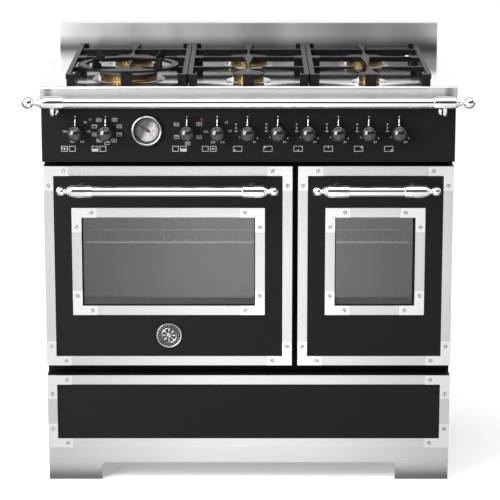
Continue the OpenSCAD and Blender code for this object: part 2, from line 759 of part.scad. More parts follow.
// A cast pan support, centred at x = 0: side bars, cross bars and feet, with tapered fingers.
module grate(mid) {
    half = grate_w / 2;
    foot = grate_foot_w / 2;
    tip = 1.8;
    tip_x = 29;
    thin = bar_w / 2;
    side_foot = grate_foot_w * 1.2;
    side_in = 28;
    translate([mid, 0, 0]) {
        for (side = [0, 1]) mirror([side, 0, 0]) {
            span([half - bar_w, grate_front + 4, bar_z], [half, grate_rear - 4, grate_z]);
            for (y = [grate_front, grate_rear - foot]) span([half - foot - 8, y, worktop_z + 0.3],
                [half - 2, y + foot, grate_z]);
            upright_plate(finger_y - thin, finger_y + thin) polygon([[half - bar_w + e, bar_z],
                [wok_crown_r + 8, finger_z], [tip_x, grate_z - 3], [tip_x, grate_z],
                [half - bar_w + e, grate_z]]);
            span([half - side_in, middle_bar_y - side_foot / 2, bar_z],
                [half, middle_bar_y + side_foot / 2, grate_z]);
            span([half - side_in, middle_bar_y - side_foot / 2, basin_z + 0.3],
                [half - side_in / 2, middle_bar_y + side_foot / 2, grate_z]);
        }
        for (y = [middle_bar_y, rear_bar_y])
            span([-half + e, y - thin, bar_z], [half - e, y + thin, grate_z]);
        for (y = [grate_front, grate_rear - foot])
            span([-foot, y, worktop_z + 0.3], [foot, y + foot, grate_z]);
        tapered_bar([[grate_front, foot], [grate_front + foot * 2, foot], [finger_y - 8, tip],
            [middle_bar_y - 100, tip], [middle_bar_y - 12, foot - 2], [middle_bar_y + 64, tip],
            [rear_bar_y, tip], [grate_rear - foot, foot], [grate_rear, foot]], finger_z, grate_z);
    }
}

module grate_left() color([0.12, 0.12, 0.12]) placed() grate(grate_xs[0]);
module grate_middle() color([0.12, 0.12, 0.12]) placed() grate(grate_xs[1]);
module grate_right() color([0.12, 0.12, 0.12]) placed() grate(grate_xs[2]);

// The wok ring: a flat ring on the left pan support, with four fins that slope down to its middle.
module wok_ring() color([0.12, 0.12, 0.12]) placed() translate([-burner_x, wok_burner_y + 8, 0]) {
    difference() {
        along_z(0, 0, wok_r, wok_z, wok_z + wok_ring_t);
        along_z(0, 0, wok_r - wok_ring_w, wok_z - 1, wok_z + wok_ring_t + 1);
    }
    for (a = [45 : 90 : 315]) rotate(a) translate([0, 3, 0]) rotate([90, 0, 0]) linear_extrude(6)
        polygon([[wok_r - wok_ring_w - 12, wok_z], [wok_r - 4, wok_z],
            [wok_r - 4, wok_z + wok_ring_t + fin_h], [wok_r - 10, wok_z + wok_ring_t + fin_h],
            [wok_r - wok_ring_w - 12, wok_z + wok_ring_t + fin_h / 3]]);
}

// --- control panel ---

module control_panel() color(dark) placed() difference() {
    span([-body_x, panel_set, panel_z], [body_x, chassis_y, fascia_z]);
    span([-body_x + sheet, panel_in, panel_z + sheet], [body_x - sheet, chassis_y + 1, fascia_z - sheet]);
    for (x = burner_knobs) along_y(x, knobs_z, spindle_hole_r, panel_set - 1, panel_in + 1);
    for (x = oven_knobs) along_y(x, knobs_z, shaft_r + 1, panel_set - 1, panel_in + 1);
    for (x = lamp_xs) along_y(x, knobs_z + lamp_up, lamp_r + seat_gap, panel_set - 1, panel_in + 1);
    along_y(gauge_x, gauge_z, gauge_r - 5 + seat_gap, panel_set - 1, panel_in + 1);
}

// A knob: a ball on a neck, a base disc with a pointer, and what grips or is the shaft behind it.
module knob_body(x, lift) {
    base_y = panel_set - lift;
    translate([x, knob_y, knobs_z]) sphere(knob_r);
    along_y(x, knobs_z, knob_base_r - 2, knob_y, base_y);
    along_y(x, knobs_z, knob_base_r, base_y - knob_base_t, base_y);
    upright_plate(base_y - knob_base_t, base_y - 0.8) translate([x, knobs_z])
        polygon([[-4.5, knob_base_r - 3], [4.5, knob_base_r - 3], [2.6, pointer_reach - 4],
            [0, pointer_reach], [-2.6, pointer_reach - 4]]);
}

module burner_knob(i) color([0.2, 0.2, 0.22]) placed() difference() {
    knob_body(burner_knobs[i], knob_lift);
    along_y(burner_knobs[i], knobs_z, spindle_r + run_gap, spindle_tip - knob_push - 0.5, panel_set);
}

module oven_knob(i) color([0.2, 0.2, 0.22]) placed() {
    knob_body(oven_knobs[i], knob_lift);
    along_y(oven_knobs[i], knobs_z, shaft_r, knob_y, shaft_end);
}

// A gas valve's spindle, with the taper plug's head inside the valve.
module spindle(i) color(steel) placed()
    along_y(burner_knobs[i], knobs_z, spindle_r, spindle_tip, spindle_end);

module knob_left_oven_heat() oven_knob(0);
module knob_left_oven_function() oven_knob(1);
module knob_right_oven_function() oven_knob(2);
module knob_right_oven_heat() oven_knob(3);
module knob_front_left() burner_knob(0);
module knob_rear_left() burner_knob(1);
module knob_front_middle() burner_knob(2);
module knob_rear_middle() burner_knob(3);
module knob_rear_right() burner_knob(4);
module knob_front_right() burner_knob(5);
module spindle_front_left() spindle(0);
module spindle_rear_left() spindle(1);
module spindle_front_middle() spindle(2);
module spindle_rear_middle() spindle(3);
module spindle_rear_right() spindle(4);
module spindle_front_right() spindle(5);

// A pipe through a list of points, with a ball at each bend.
module pipe(points, r) {
    for (i = [0 : len(points) - 2]) {
        run = points[i + 1] - points[i];
        length = norm(run);
        translate(points[i]) rotate([0, acos(run[2] / length), atan2(run[1], run[0])])
            cylinder(r = r, h = length);
        if (i > 0) translate(points[i]) sphere(r);
    }
}

// The gas train: the inlet pipe, the manifold, six valves and a pipe from each valve to its burner.
// A pipe to a rear burner leaves its valve's back, and one to a front burner leaves its valve's top.
module gas_manifold() color([0.7, 0.6, 0.38]) placed() {
    valve_r = 13;
    valve_back = 58;
    valve_out = 54;
    manifold_y = 46;
    stem = 7;
    pipe_r = 3;
    up = [20, -8, 28, 0, 8, 36];
    difference() {
        union() {
            for (x = burner_knobs) {
                along_y(x, knobs_z, valve_r, panel_in, valve_back);
                span([x - stem, manifold_y - stem, manifold_z], [x + stem, manifold_y + stem, knobs_z]);
            }
            pipe([[burner_knobs[0] - 16, manifold_y, manifold_z], [gas_inlet_x, manifold_y, manifold_z],
                [gas_inlet_x, rear_y + 1, manifold_z]], manifold_r);
            along_y(gas_inlet_x, manifold_z, gas_inlet_r, rear_y + seat_gap, rear_y + gas_thread_l);
        }
        for (x = burner_knobs) along_y(x, knobs_z, spindle_r + run_gap, panel_in - 1, spindle_end + 0.3);
        along_y(gas_inlet_x, manifold_z, manifold_r - 2, rear_y - 30, worktop_d);
    }
    for (i = [0 : 5]) {
        lane = side_y + 12 + 9 * i;
        z = knobs_z + up[i];
        bx = burners[i][0];
        by = burners[i][1];
        straight = abs(burner_knobs[i] - bx) < 2 * pipe_r;
        x = straight ? bx : burner_knobs[i];
        start = up[i] > valve_r ? [[x, valve_out, knobs_z]] : [];
        jog = straight ? [] : [[x, lane, z], [bx, lane, z]];
        pipe(concat(start, [[x, valve_out, z]], jog, [[bx, by, z], [bx, by, cup_z]]), pipe_r);
    }
}

module gauge_case() color(steel) placed() {
    glass_y = panel_set - 8;
    difference() {
        union() {
            along_y(gauge_x, gauge_z, gauge_r, panel_set - gauge_depth, panel_set - e);
            along_y(gauge_x, gauge_z, gauge_r - 5, panel_set - e, panel_in + 26);
        }
        along_y(gauge_x, gauge_z, dial_r, panel_set - gauge_depth - 1, panel_set - 1);
        along_y(gauge_x, gauge_z, dial_r + 1.4, panel_set - gauge_depth - 1, glass_y + 0.2);
    }
    along_y(gauge_x, gauge_z, dial_r + 1.3, glass_y - 1.9, glass_y + 0.1);
    along_y(gauge_x, gauge_z, gauge_post_r, panel_set - 5, panel_set - 1 + e);
}

// The gauge's needle: a hub that turns on the post, a pointer and its tail.
module gauge_needle() color([0.6, 0.15, 0.12]) placed() translate([gauge_x, 0, gauge_z]) rotate([0, -59, 0])
    difference() {
        union() {
            along_y(0, 0, 3, panel_set - 5, panel_set - 2.6);
            upright_plate(panel_set - 4.4, panel_set - 3.4)
                polygon([[-1.6, -9], [1.6, -9], [1.2, 0], [0.3, dial_r - 4], [-0.3, dial_r - 4], [-1.2, 0]]);
        }
        along_y(0, 0, gauge_post_r + run_gap, panel_set - 9, panel_set);
    }

module indicator_lamps() color([0.7, 0.12, 0.08]) placed() for (x = lamp_xs) {
    along_y(x, knobs_z + lamp_up, lamp_r, panel_set - 1.4, panel_in + 14);
}

module oven_electrics() color(zinc) placed() {
    body = 19;
    for (x = oven_knobs) difference() {
        span([x - body, panel_in, knobs_z - body], [x + body, shaft_end + 12, knobs_z + body]);
        along_y(x, knobs_z, shaft_r + run_gap, panel_in - 1, shaft_end + 0.3);
    }
    difference() {
        along_y(door_left_mid, fan_z, 38, oven_back + sheet, oven_back + sheet + motor_d);
        along_y(door_left_mid, fan_z, spindle_r + run_gap, oven_back, fan_shaft_end + 0.3);
    }
}

// --- rail and handles ---

// One half of a rail or handle, along X from the middle: bracket sleeve, collar, neck and end ball.
module rail_end(ball_x, y, z, tube_r, swell_r, ball_r, neck_l) {
    neck_r = ball_r * 0.55;
    collar_x = ball_x - neck_l - collar_l;
    swell_x = collar_x - seat_gap - swell_l;
    barrel(swell_x + swell_l / 2, y, z, swell_l, tube_r - 0.8, swell_r);
    along_x(y, z, tube_r - 0.8, collar_x, collar_x + collar_l);
    along_x(y, z, neck_r, collar_x + collar_l - 1, ball_x);
    translate([ball_x, y, z]) sphere(ball_r);
}

function swell_mid(ball_x, neck_l) = ball_x - neck_l - collar_l - seat_gap - swell_l / 2;

// A bracket rod below the rail that bends back to the control panel.
module rail_rod(x) {
    bend = 12;
    low = rail_z - 28;
    along_z(x, -rail_reach, rail_rod_r, low + bend, rail_z - rail_swell_r / 2);
    translate([x, -rail_reach + bend, low + bend]) rotate([90, 180, 90])
        rotate_extrude(angle = 90) translate([bend, 0]) circle(rail_rod_r);
    along_y(x, low, rail_rod_r, -rail_reach + bend, panel_set - 1);
    along_y(x, low, rail_rod_r + 2.5, panel_set - 3, panel_set);
}

module towel_rail() color(steel) placed() {
    neck_l = rail_ball_r + 6;
    mid = swell_mid(rail_ball_x, neck_l);
    reach = mid - swell_l / 2 - seat_gap;
    along_x(-rail_reach, rail_z, rail_r, -reach, reach);
    for (side = [0, 1]) mirror([side, 0, 0]) {
        rail_end(rail_ball_x, -rail_reach, rail_z, rail_r, rail_swell_r, rail_ball_r, neck_l);
        rail_rod(mid);
    }
}

module handle(mid, w) color(steel) placed() translate([mid, 0, 0]) {
    ball_x = w / 2 - handle_side;
    neck_l = handle_ball_r + 1;
    post_r = 6;
    post_x = swell_mid(ball_x, neck_l);
    reach = post_x - swell_l / 2 - seat_gap;
    along_x(handle_y, handle_z, handle_r, -reach, reach);
    for (side = [0, 1]) mirror([side, 0, 0]) {
        rail_end(ball_x, handle_y, handle_z, handle_r, handle_swell_r, handle_ball_r, neck_l);
        along_y(post_x, handle_z, post_r, handle_y, skin_y - 1);
        along_y(post_x, handle_z, post_r + 4, skin_y - 4, skin_y);
    }
}

module door_left_handle() handle(door_left_mid, door_left_w);
module door_right_handle() handle(door_right_mid, door_right_w);

// --- doors and drawer ---

// An L-shaped corner bracket with two screws. sx and sz point from the corner into the frame.
module corner_bracket(x, z, sx, sz) {
    y1 = leaf_set - seat_gap;
    screws = [[screw_at, strip_w / 2], [strip_w / 2, screw_at]];
    translate([x, 0, z]) mirror([sx < 0 ? 1 : 0, 0, 0]) mirror([0, 0, sz < 0 ? 1 : 0]) {
        difference() {
            upright_plate(y1 - bracket_t, y1) {
                square([bracket_l, strip_w]);
                square([strip_w, bracket_l]);
            }
            for (s = screws) along_y(s[0], s[1], shank_r + seat_gap, leaf_set - 5, leaf_set + 5);
        }
        for (s = screws) {
            along_y(s[0], s[1], shank_r, y1 - bracket_t - seat_gap, skin_y - 0.1);
            along_y(s[0], s[1], screw_r, y1 - bracket_t - seat_gap - 1.4, y1 - bracket_t - seat_gap);
        }
    }
}

// A steel trim: a frame of strips with a bracket on each corner.
module trim_frame(x, z, w, h) {
    difference() {
        ring_plate(x, z, w, h, strip_w, leaf_set, skin_y);
        for (sx = [0, 1]) for (sz = [0, 1]) for (s = [[screw_at, strip_w / 2], [strip_w / 2, screw_at]])
            along_y(sx == 0 ? x + s[0] : x + w - s[0], sz == 0 ? z + s[1] : z + h - s[1], shank_r + seat_gap,
                leaf_set - 1, skin_y + 1);
    }
    for (sx = [0, 1]) for (sz = [0, 1])
        corner_bracket(x + sx * w, z + sz * h, sx == 0 ? 1 : -1, sz == 0 ? 1 : -1);
}

function window_w(w) = w - 2 * window_side;

// A shallow tray that is open at the back, as a door's or the drawer's painted skin.
module skin_tray(x, z, w, h) {
    difference() {
        span([x, skin_y, z], [x + w, leaf_back, z + h]);
        span([x + sheet, skin_y + sheet, z + sheet], [x + w - sheet, leaf_back + 1, z + h - sheet]);
    }
}

module window_hole(x, w, y0, y1) {
    span([x + window_side + strip_w, y0, door_z + window_low + strip_w],
        [x + w - window_side - strip_w, y1, door_z + window_low + window_h - strip_w]);
}

// The slot that lets a hinge bracket's arm in at the door's lower rear edge.
module arm_slot(x) {
    half = arm_t / 2 + arm_gap;
    arm_r = 8;
    span([x - half, hinge_y - arm_r, door_z - 1], [x + half, leaf_back + 1, hinge_z + arm_r]);
}

module door_panel(x, w) color(dark) placed() difference() {
    skin_tray(x, door_z, w, door_h);
    window_hole(x, w, skin_y - 1, skin_y + sheet + 1);
    for (h = [x + hinge_side, x + w - hinge_side]) arm_slot(h);
}

module door_glass(x, w) color([0.5, 0.52, 0.53, 0.5]) placed() {
    low = [x + window_side + strip_w - glass_lap, door_z + window_low + strip_w - glass_lap];
    high = [x + w - window_side - strip_w + glass_lap, door_z + window_low + window_h - strip_w + glass_lap];
    for (y = [skin_y + sheet, leaf_back - sheet - glass_t])
        upright_plate(y, y + glass_t) rounded(low, high, 8);
}

// A door's inner lining: a plate with a turned-in edge, and the two hinge blocks with their bores.
module door_liner(x, w) color(zinc) placed() {
    gap = sheet + seat_gap;
    edge = 14;
    difference() {
        union() {
            difference() {
                span([x + gap, leaf_back - edge, door_z + gap],
                    [x + w - gap, leaf_back, door_z + door_h - gap]);
                span([x + gap + sheet, leaf_back - edge - 1, door_z + gap + sheet],
                    [x + w - gap - sheet, leaf_back - sheet, door_z + door_h - gap - sheet]);
                window_hole(x, w, leaf_back - edge, leaf_back + 1);
            }
            for (h = [x + hinge_side, x + w - hinge_side]) hinge_block(h);
        }
        for (h = [x + hinge_side, x + w - hinge_side]) {
            arm_slot(h);
            along_x(hinge_y, hinge_z, pin_r + run_gap, h - arm_t * 3, h + arm_t * 3);
        }
    }
}

module hinge_block(x) {
    ear = 8;
    half = arm_t / 2 + arm_gap + ear + 1;
    span([x - half, hinge_y - 9, door_z + sheet + seat_gap],
        [x + half, leaf_back - sheet + e, hinge_z + 12]);
}

// The medallion: a disc with a raised rim and a boss.
module medallion(x, z) {
    along_y(x, z, medal_r, skin_y - 2, skin_y);
    difference() {
        along_y(x, z, medal_r, skin_y - 4, skin_y - 2 + e);
        along_y(x, z, medal_r - 4, skin_y - 5, skin_y - 2);
    }
    along_y(x, z, medal_r / 3, skin_y - 3.4, skin_y - 2 + e);
}

module door_trim(x, w) color(steel) placed() {
    trim_frame(x, door_z, w, door_h);
    trim_frame(x + window_side, door_z + window_low, window_w(w), window_h);
}

module door_left_panel() door_panel(door_left_x, door_left_w);
module door_left_trim() {
    door_trim(door_left_x, door_left_w);
    color([0.8, 0.78, 0.7]) placed() medallion(door_left_mid, door_z + medal_up);
}
module door_left_glass() door_glass(door_left_x, door_left_w);
module door_left_liner() door_liner(door_left_x, door_left_w);
module door_right_panel() door_panel(door_right_x, door_right_w);
module door_right_trim() door_trim(door_right_x, door_right_w);
module door_right_glass() door_glass(door_right_x, door_right_w);
module door_right_liner() door_liner(door_right_x, door_right_w);

module drawer_front() color(dark) placed() skin_tray(-leaf_w / 2, drawer_z, leaf_w, drawer_h);
module drawer_trim() color(steel) placed() trim_frame(-leaf_w / 2, drawer_z, leaf_w, drawer_h);

module drawer_box() color(zinc) placed() {
    gap = sheet + seat_gap;
    span([-leaf_w / 2 + gap, leaf_back - sheet, drawer_z + gap],
        [leaf_w / 2 - gap, leaf_back, drawer_z + drawer_h - gap]);
    difference() {
        span([-box_x, leaf_back - e, box_z], [box_x, box_back, box_z + box_h]);
        span([-box_x + sheet, leaf_back + 1, box_z + sheet],
            [box_x - sheet, box_back - sheet, box_z + box_h + 1]);
    }
    for (side = [0, 1]) mirror([side, 0, 0])
        channel(box_x - e, runner_x - 2 * (runner_t + runner_gap), inner_h, side_y, runner_end);
}

module runner_middle() color(zinc) placed() for (side = [0, 1]) mirror([side, 0, 0])
    channel(runner_x - runner_t - runner_gap, box_x + runner_t + 0.8, middle_h, side_y, runner_end);

side_panels();
rear_cover();
base_frame();
plinth();
levelling_feet();
front_frame();
oven_cavity_left();
oven_cavity_right();
door_seals();
rack_guides();
heating_elements();
worktop();
backguard();
control_panel();
towel_rail();
gauge_case();
gas_manifold();
burner_crowns();
burner_caps();
spark_plugs();
indicator_lamps();
oven_electrics();
door_left_panel();
door_left_trim();
door_left_glass();
door_left_liner();
door_left_handle();
door_right_panel();
door_right_trim();
door_right_glass();
door_right_liner();
door_right_handle();
drawer_front();
drawer_trim();
drawer_box();
runner_middle();
knob_left_oven_heat();
knob_left_oven_function();
knob_right_oven_function();
knob_right_oven_heat();
knob_front_left();
knob_rear_left();
knob_front_middle();
knob_rear_middle();
knob_rear_right();
knob_front_right();
spindle_front_left();
spindle_rear_left();
spindle_front_middle();
spindle_rear_middle();
spindle_rear_right();
spindle_front_right();
gauge_needle();
rack_left();
rack_right();
fan();
grate_left();
grate_middle();
grate_right();
wok_ring();
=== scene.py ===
# %% [markdown]
# # A range cooker with two ovens
# The maker's exact parts come in first, as a fixed frame. After that each visible surface gets
# its real shape and finish: brushed steel, black enamel, chrome, cast iron, brass and glass.

# %% Load the frame
import math
import bpy
import mathutils
import numpy as np
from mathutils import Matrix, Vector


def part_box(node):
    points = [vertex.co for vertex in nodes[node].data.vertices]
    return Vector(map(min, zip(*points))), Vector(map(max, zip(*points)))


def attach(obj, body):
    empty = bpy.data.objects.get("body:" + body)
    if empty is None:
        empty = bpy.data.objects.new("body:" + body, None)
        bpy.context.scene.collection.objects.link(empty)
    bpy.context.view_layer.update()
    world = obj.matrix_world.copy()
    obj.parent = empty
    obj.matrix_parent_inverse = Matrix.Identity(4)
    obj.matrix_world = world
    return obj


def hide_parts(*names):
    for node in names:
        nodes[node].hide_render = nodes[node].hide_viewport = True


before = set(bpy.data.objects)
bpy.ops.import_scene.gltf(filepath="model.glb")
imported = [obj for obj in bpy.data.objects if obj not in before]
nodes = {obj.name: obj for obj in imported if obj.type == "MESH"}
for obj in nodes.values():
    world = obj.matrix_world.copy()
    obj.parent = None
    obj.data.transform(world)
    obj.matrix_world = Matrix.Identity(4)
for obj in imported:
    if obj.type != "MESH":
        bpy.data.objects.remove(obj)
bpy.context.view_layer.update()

# %% [markdown]
# ## One way to build every shape
# Turned handles, folded plates and cast bars are all skins over a row of closed loops: the loops
# follow each other along the piece, and the two ends are capped. Each shape is then a function
# that works out its loops as one array. Boolean cuts or hand-placed vertices could do it too,
# but loops keep clean edges and their formulas stay readable. Sizes are in millimetres, with y
# measured back from the hob's front edge, and `placed` turns them into the frame's metres.

# %% Loops to skins
HOB_FRONT = 268.5   # the hob's front edge lies this far in front of the frame's origin
METRE = 1000        # in millimetres


def placed(points):
    """Frame point = (x, y - HOB_FRONT, z) / METRE."""
    return (np.asarray(points, float) - (0, HOB_FRONT, 0)) / METRE


def skin(loops):
    """Joins loop k to loop k + 1 with four-sided faces, and closes both ends: (points, faces)."""
    rows, count = loops.shape[:2]
    i = np.arange(rows - 1)[:, None] * count
    j = np.arange(count)[None, :]
    k = (j + 1) % count
    quads = np.stack([i + j, i + k, i + count + k, i + count + j], -1).reshape(-1, 4)
    ends = [list(range(count - 1, -1, -1)), list(range((rows - 1) * count, rows * count))]
    return loops.reshape(-1, 3), quads.tolist() + ends


def joined(parts):
    """Many skins as one: each one's faces are counted on from the points before it."""
    starts = np.cumsum([0] + [len(p) for p, _ in parts])
    faces = [[a + s for a in f] for (_, fs), s in zip(parts, starts) for f in fs]
    return np.concatenate([p for p, _ in parts]), faces


# %% Skins to pieces
def piece(name, parts, body, finish, replaces=(), crease=40):
    """Puts skins into the scene as one object on a body. Edges sharper than crease stay sharp. Where
    the piece wears several finishes, parts is {finish: skins}, and each skin's faces take their own."""
    groups = parts if isinstance(parts, dict) else {finish: parts}
    points, faces = joined([part for skins in groups.values() for part in skins])
    mesh = bpy.data.meshes.new(name)
    mesh.from_pydata(placed(points).tolist(), [], faces)
    for worn in groups:
        mesh.materials.append(worn)
    counts = [sum(len(f) for _, f in skins) for skins in groups.values()]
    mesh.polygons.foreach_set("material_index", np.repeat(np.arange(len(groups)), counts))
    mesh.validate()
    mesh.shade_smooth()
    mesh.set_sharp_from_angle(angle=math.radians(crease))
    thing = bpy.data.objects.new(name, mesh)
    bpy.context.scene.collection.objects.link(thing)
    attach(thing, body)
    if replaces:
        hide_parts(*replaces)
    # large flat faces keep their own direction, so that a soft edge doesn't bend what they mirror
    thing.modifiers.new("flat_faces", "WEIGHTED_NORMAL").keep_sharp = True
    print(name, len(points), "points")
    return thing


# %% Turned shapes
def turned(profile, centre, axis, around=40):
    """A lathe shape. A profile row is (distance along the axis, radius), and the point at angle a is
    centre + along * axis + radius * (cos a * first + sin a * second), the other two directions."""
    d, r = np.asarray(profile, float).T
    directions = {"x": (0, 1, 2), "y": (1, 2, 0), "z": (2, 0, 1)}[axis]
    a = np.linspace(0, 2 * np.pi, around, endpoint=False)
    loops = np.empty((len(d), around, 3))
    loops[..., directions[0]] = d[:, None]
    loops[..., directions[1]] = r[:, None] * np.cos(a)
    loops[..., directions[2]] = r[:, None] * np.sin(a)
    return skin(loops + np.asarray(centre, float))


def arc(along, radius, r, start, stop, steps):
    """Profile rows on a part of a circle of radius r about (along, radius), in degrees."""
    a = np.radians(np.linspace(start, stop, steps))
    return np.stack([along + r * np.cos(a), radius + r * np.sin(a)], -1).tolist()


# %% Plates with soft edges
def inset(outline, t):
    """Moves each corner inwards by t along the two edges' normals, so that every side shifts by t."""
    back = outline - np.roll(outline, 1, 0)
    ahead = np.roll(outline, -1, 0) - outline
    n = [np.stack([-v[:, 1], v[:, 0]], -1) / np.linalg.norm(v, axis=1)[:, None] for v in (back, ahead)]
    mitre = n[0] + n[1]
    return outline + t * mitre / (1 + (n[0] * n[1]).sum(1))[:, None]


def plate(outline, near, far, edge=0.4, steps=3):
    """A plate that faces the front, from depth near to depth far. Its outline in x and z runs counter-
    clockwise and is rounded off at both faces: at angle a of a quarter circle the depth moves by
    edge * (1 - sin a), and the side by edge * (1 - cos a)."""
    outline = np.asarray(outline, float)
    a = np.linspace(np.pi / 2, 0, steps)
    shift = edge * (1 - np.sin(a))
    side = edge * (1 - np.cos(a))
    flat = np.stack([inset(outline, t) for t in np.concatenate([side, side[::-1]])])
    loops = np.empty((2 * steps, len(outline), 3))
    loops[..., 0] = flat[..., 0]
    loops[..., 1] = np.concatenate([near + shift, far - shift[::-1]])[:, None]
    loops[..., 2] = flat[..., 1]
    return skin(loops[::-1])


def spun(outline, degrees):
    """Turns an outline counter-clockwise about the origin: x to c x - s z, and z to s x + c z."""
    c, s = math.cos(math.radians(degrees)), math.sin(math.radians(degrees))
    return np.asarray(outline, float) @ np.array([[c, s], [-s, c]])


def oblong(x0, z0, x1, z1, r=0.0, steps=5):
    """A rectangle's outline, counter-clockwise, with a quarter circle of radius r at each corner."""
    if r <= 0:
        return np.array([[x0, z0], [x1, z0], [x1, z1], [x0, z1]], float)
    a = np.radians(np.linspace(0, 90, steps))
    quarter = np.stack([np.cos(a), np.sin(a)], -1) * r
    middles = [(x1 - r, z1 - r), (x0 + r, z1 - r), (x0 + r, z0 + r), (x1 - r, z0 + r)]
    return np.concatenate([spun(quarter, 90 * k) + middle for k, middle in enumerate(middles)])


# %% [markdown]
# ## Finishes
# A finish is a Principled shader whose roughness, bump and colour are broken up by noise in the
# frame's own metres. Object coordinates are the right ones here, because every piece keeps its
# place in its mesh, and a brushing line then runs on from one plate to the next. A number that is
# the same all over a surface is set on the shader itself.

# %% Small node helpers
def feed(tree, socket, value):
    """Links a socket to another one's output, or sets it to a plain value."""
    if isinstance(value, bpy.types.NodeSocket):
        tree.links.new(value, socket)
    else:
        socket.default_value = value


def worked(tree, operation, *values):
    """A math node's output."""
    node = tree.nodes.new("ShaderNodeMath")
    node.operation = operation
    for k, value in enumerate(values):
        feed(tree, node.inputs[k], value)
    return node.outputs[0]


def blended(tree, factor, first, second):
    """A colour that goes from first to second as the factor goes from 0 to 1."""
    node = tree.nodes.new("ShaderNodeMix")
    node.data_type = "RGBA"
    for k, value in ((0, factor), (6, first), (7, second)):
        feed(tree, node.inputs[k], value)
    return node.outputs[2]


def grey(value):
    """The same value for red, green and blue."""
    return (value, value, value)


# %% One finish
class Finish:
    """One material: `noise` makes a pattern, and `rough`, `bump` and `tint` put a pattern to use."""

    def __init__(self, name, colour, metal=0.0, rough=0.5, shine=0.5, alpha=1.0):
        self.material = bpy.data.materials.new(name)
        self.material.use_nodes = True
        self.tree = self.material.node_tree
        self.shader = self.tree.nodes["Principled BSDF"]
        values = {"Base Color": (*colour, 1), "Metallic": metal, "Roughness": rough,
                  "Specular IOR Level": shine, "Alpha": alpha}
        for key, value in values.items():
            self.shader.inputs[key].default_value = value
        self.place = self.tree.nodes.new("ShaderNodeTexCoord").outputs["Object"]
        self.colour = colour

    def add(self, kind, **inputs):
        """A node with its inputs fed; i0 and i1 stand for the first and the second one."""
        node = self.tree.nodes.new(kind)
        for key, value in inputs.items():
            known = int(key[1:]) if key[1:].isdigit() else key.replace("_", " ")
            feed(self.tree, node.inputs[known], value)
        return node

    def along(self, letter):
        """The place along x, y or z, in metres."""
        return self.add("ShaderNodeSeparateXYZ", Vector=self.place).outputs[letter]

    def noise(self, scale, detail=3.0, sharp=0.5):
        """Noise over the place: scale is in cells for each metre, one number or one per direction."""
        scale = grey(scale) if isinstance(scale, (int, float)) else scale
        there = self.add("ShaderNodeMapping", Vector=self.place, Scale=scale).outputs["Vector"]
        return self.add("ShaderNodeTexNoise", Vector=there, Scale=1.0, Detail=detail,
                        Roughness=sharp).outputs["Fac"]

    def spread(self, fac, low, high, frm=0.3, to=0.7):
        """Maps fac from frm..to onto low..high, held at the ends."""
        return self.add("ShaderNodeMapRange", Value=fac, From_Min=frm, From_Max=to, To_Min=low,
                        To_Max=high).outputs["Result"]

    def rough(self, fac, low, high):
        """Lets the roughness go from low to high with fac."""
        self.tree.links.new(self.spread(fac, low, high), self.shader.inputs["Roughness"])
        return self

    def bump(self, fac, height, strength):
        """Raises the surface by height millimetres where fac is 1."""
        node = self.add("ShaderNodeBump", Strength=strength, Distance=height / METRE, Height=fac)
        self.tree.links.new(node.outputs["Normal"], self.shader.inputs["Normal"])
        return self

    def tint(self, fac, other, frm=0.35, to=0.65):
        """Blends the colour towards another one while fac goes from frm to to."""
        share = self.spread(fac, 0, 1, frm, to)
        mixed = blended(self.tree, share, (*self.colour, 1), (*other, 1))
        self.tree.links.new(mixed, self.shader.inputs["Base Color"])
        return self


# %% [markdown]
# ## Steel
# Brushed steel shows fine lines one way, so its noise is long along them and short across. The large
# sheets get a little more: the backguard and the basin mirror the dark castings beside them. Blurred
# by the brushing, thin castings come out too pale there, so a painted reflection, a darker tint by
# place, stands in for them.

# %% Brushed steel
ACROSS, ALONG = 1600.0, 12.0                    # cells of the noise in a metre, across the lines and along
LINES = {"height": 0.002, "strength": 0.04}     # how high the lines stand, and how strongly they show


def brushed(name, direction, light, low=0.24, high=0.32):
    """Brushed steel with its lines along one direction, and a slow drift to a shade 4 percent darker."""
    scale = [ACROSS] * 3
    scale["xyz".index(direction)] = ALONG
    f = Finish(name, light, metal=1.0, rough=(low + high) / 2)
    lines = f.noise(scale, 2.0)
    f.rough(lines, low, high).bump(lines, **LINES)
    return f.tint(f.noise(3, 2.0), tuple(0.96 * c for c in light)).material


brushed_x = brushed("brushed_steel_across", "x", grey(0.68))
brushed_z = brushed("brushed_steel_upright", "z", grey(0.66))
# painted highlight: the brackets are a lighter copy of the strips' steel, standing in for the brighter
# reflection they show
bracket_steel = brushed("bracket_steel", "x", grey(0.84))
screw_steel = brushed("screw_steel", "z", grey(0.8))
dish_steel = brushed("dish_steel", "z", grey(0.72))
medal_metal = brushed("medallion_metal", "x", (0.5, 0.49, 0.47))

# %% The backguard's steel
BACK_PAINTED_REFLECTION = (0.932, 0.904)     # heights in metres at which the painted reflection of the castings starts and is full
STREAKS = (7, 7, 0.6)           # cells in a metre of the wide upright streaks
back_finish = Finish("backguard_steel", grey(0.72), metal=1.0, rough=0.37)
back_finish.rough(back_finish.noise(STREAKS, 2.0), 0.31, 0.43)
back_finish.bump(back_finish.noise((ALONG, ACROSS, ACROSS), 2.0), **LINES)
# painted reflection: the backguard's foot is tinted dark by height, standing in for the castings it mirrors
back_steel = back_finish.tint(back_finish.along("Z"), grey(0.16), *BACK_PAINTED_REFLECTION).material

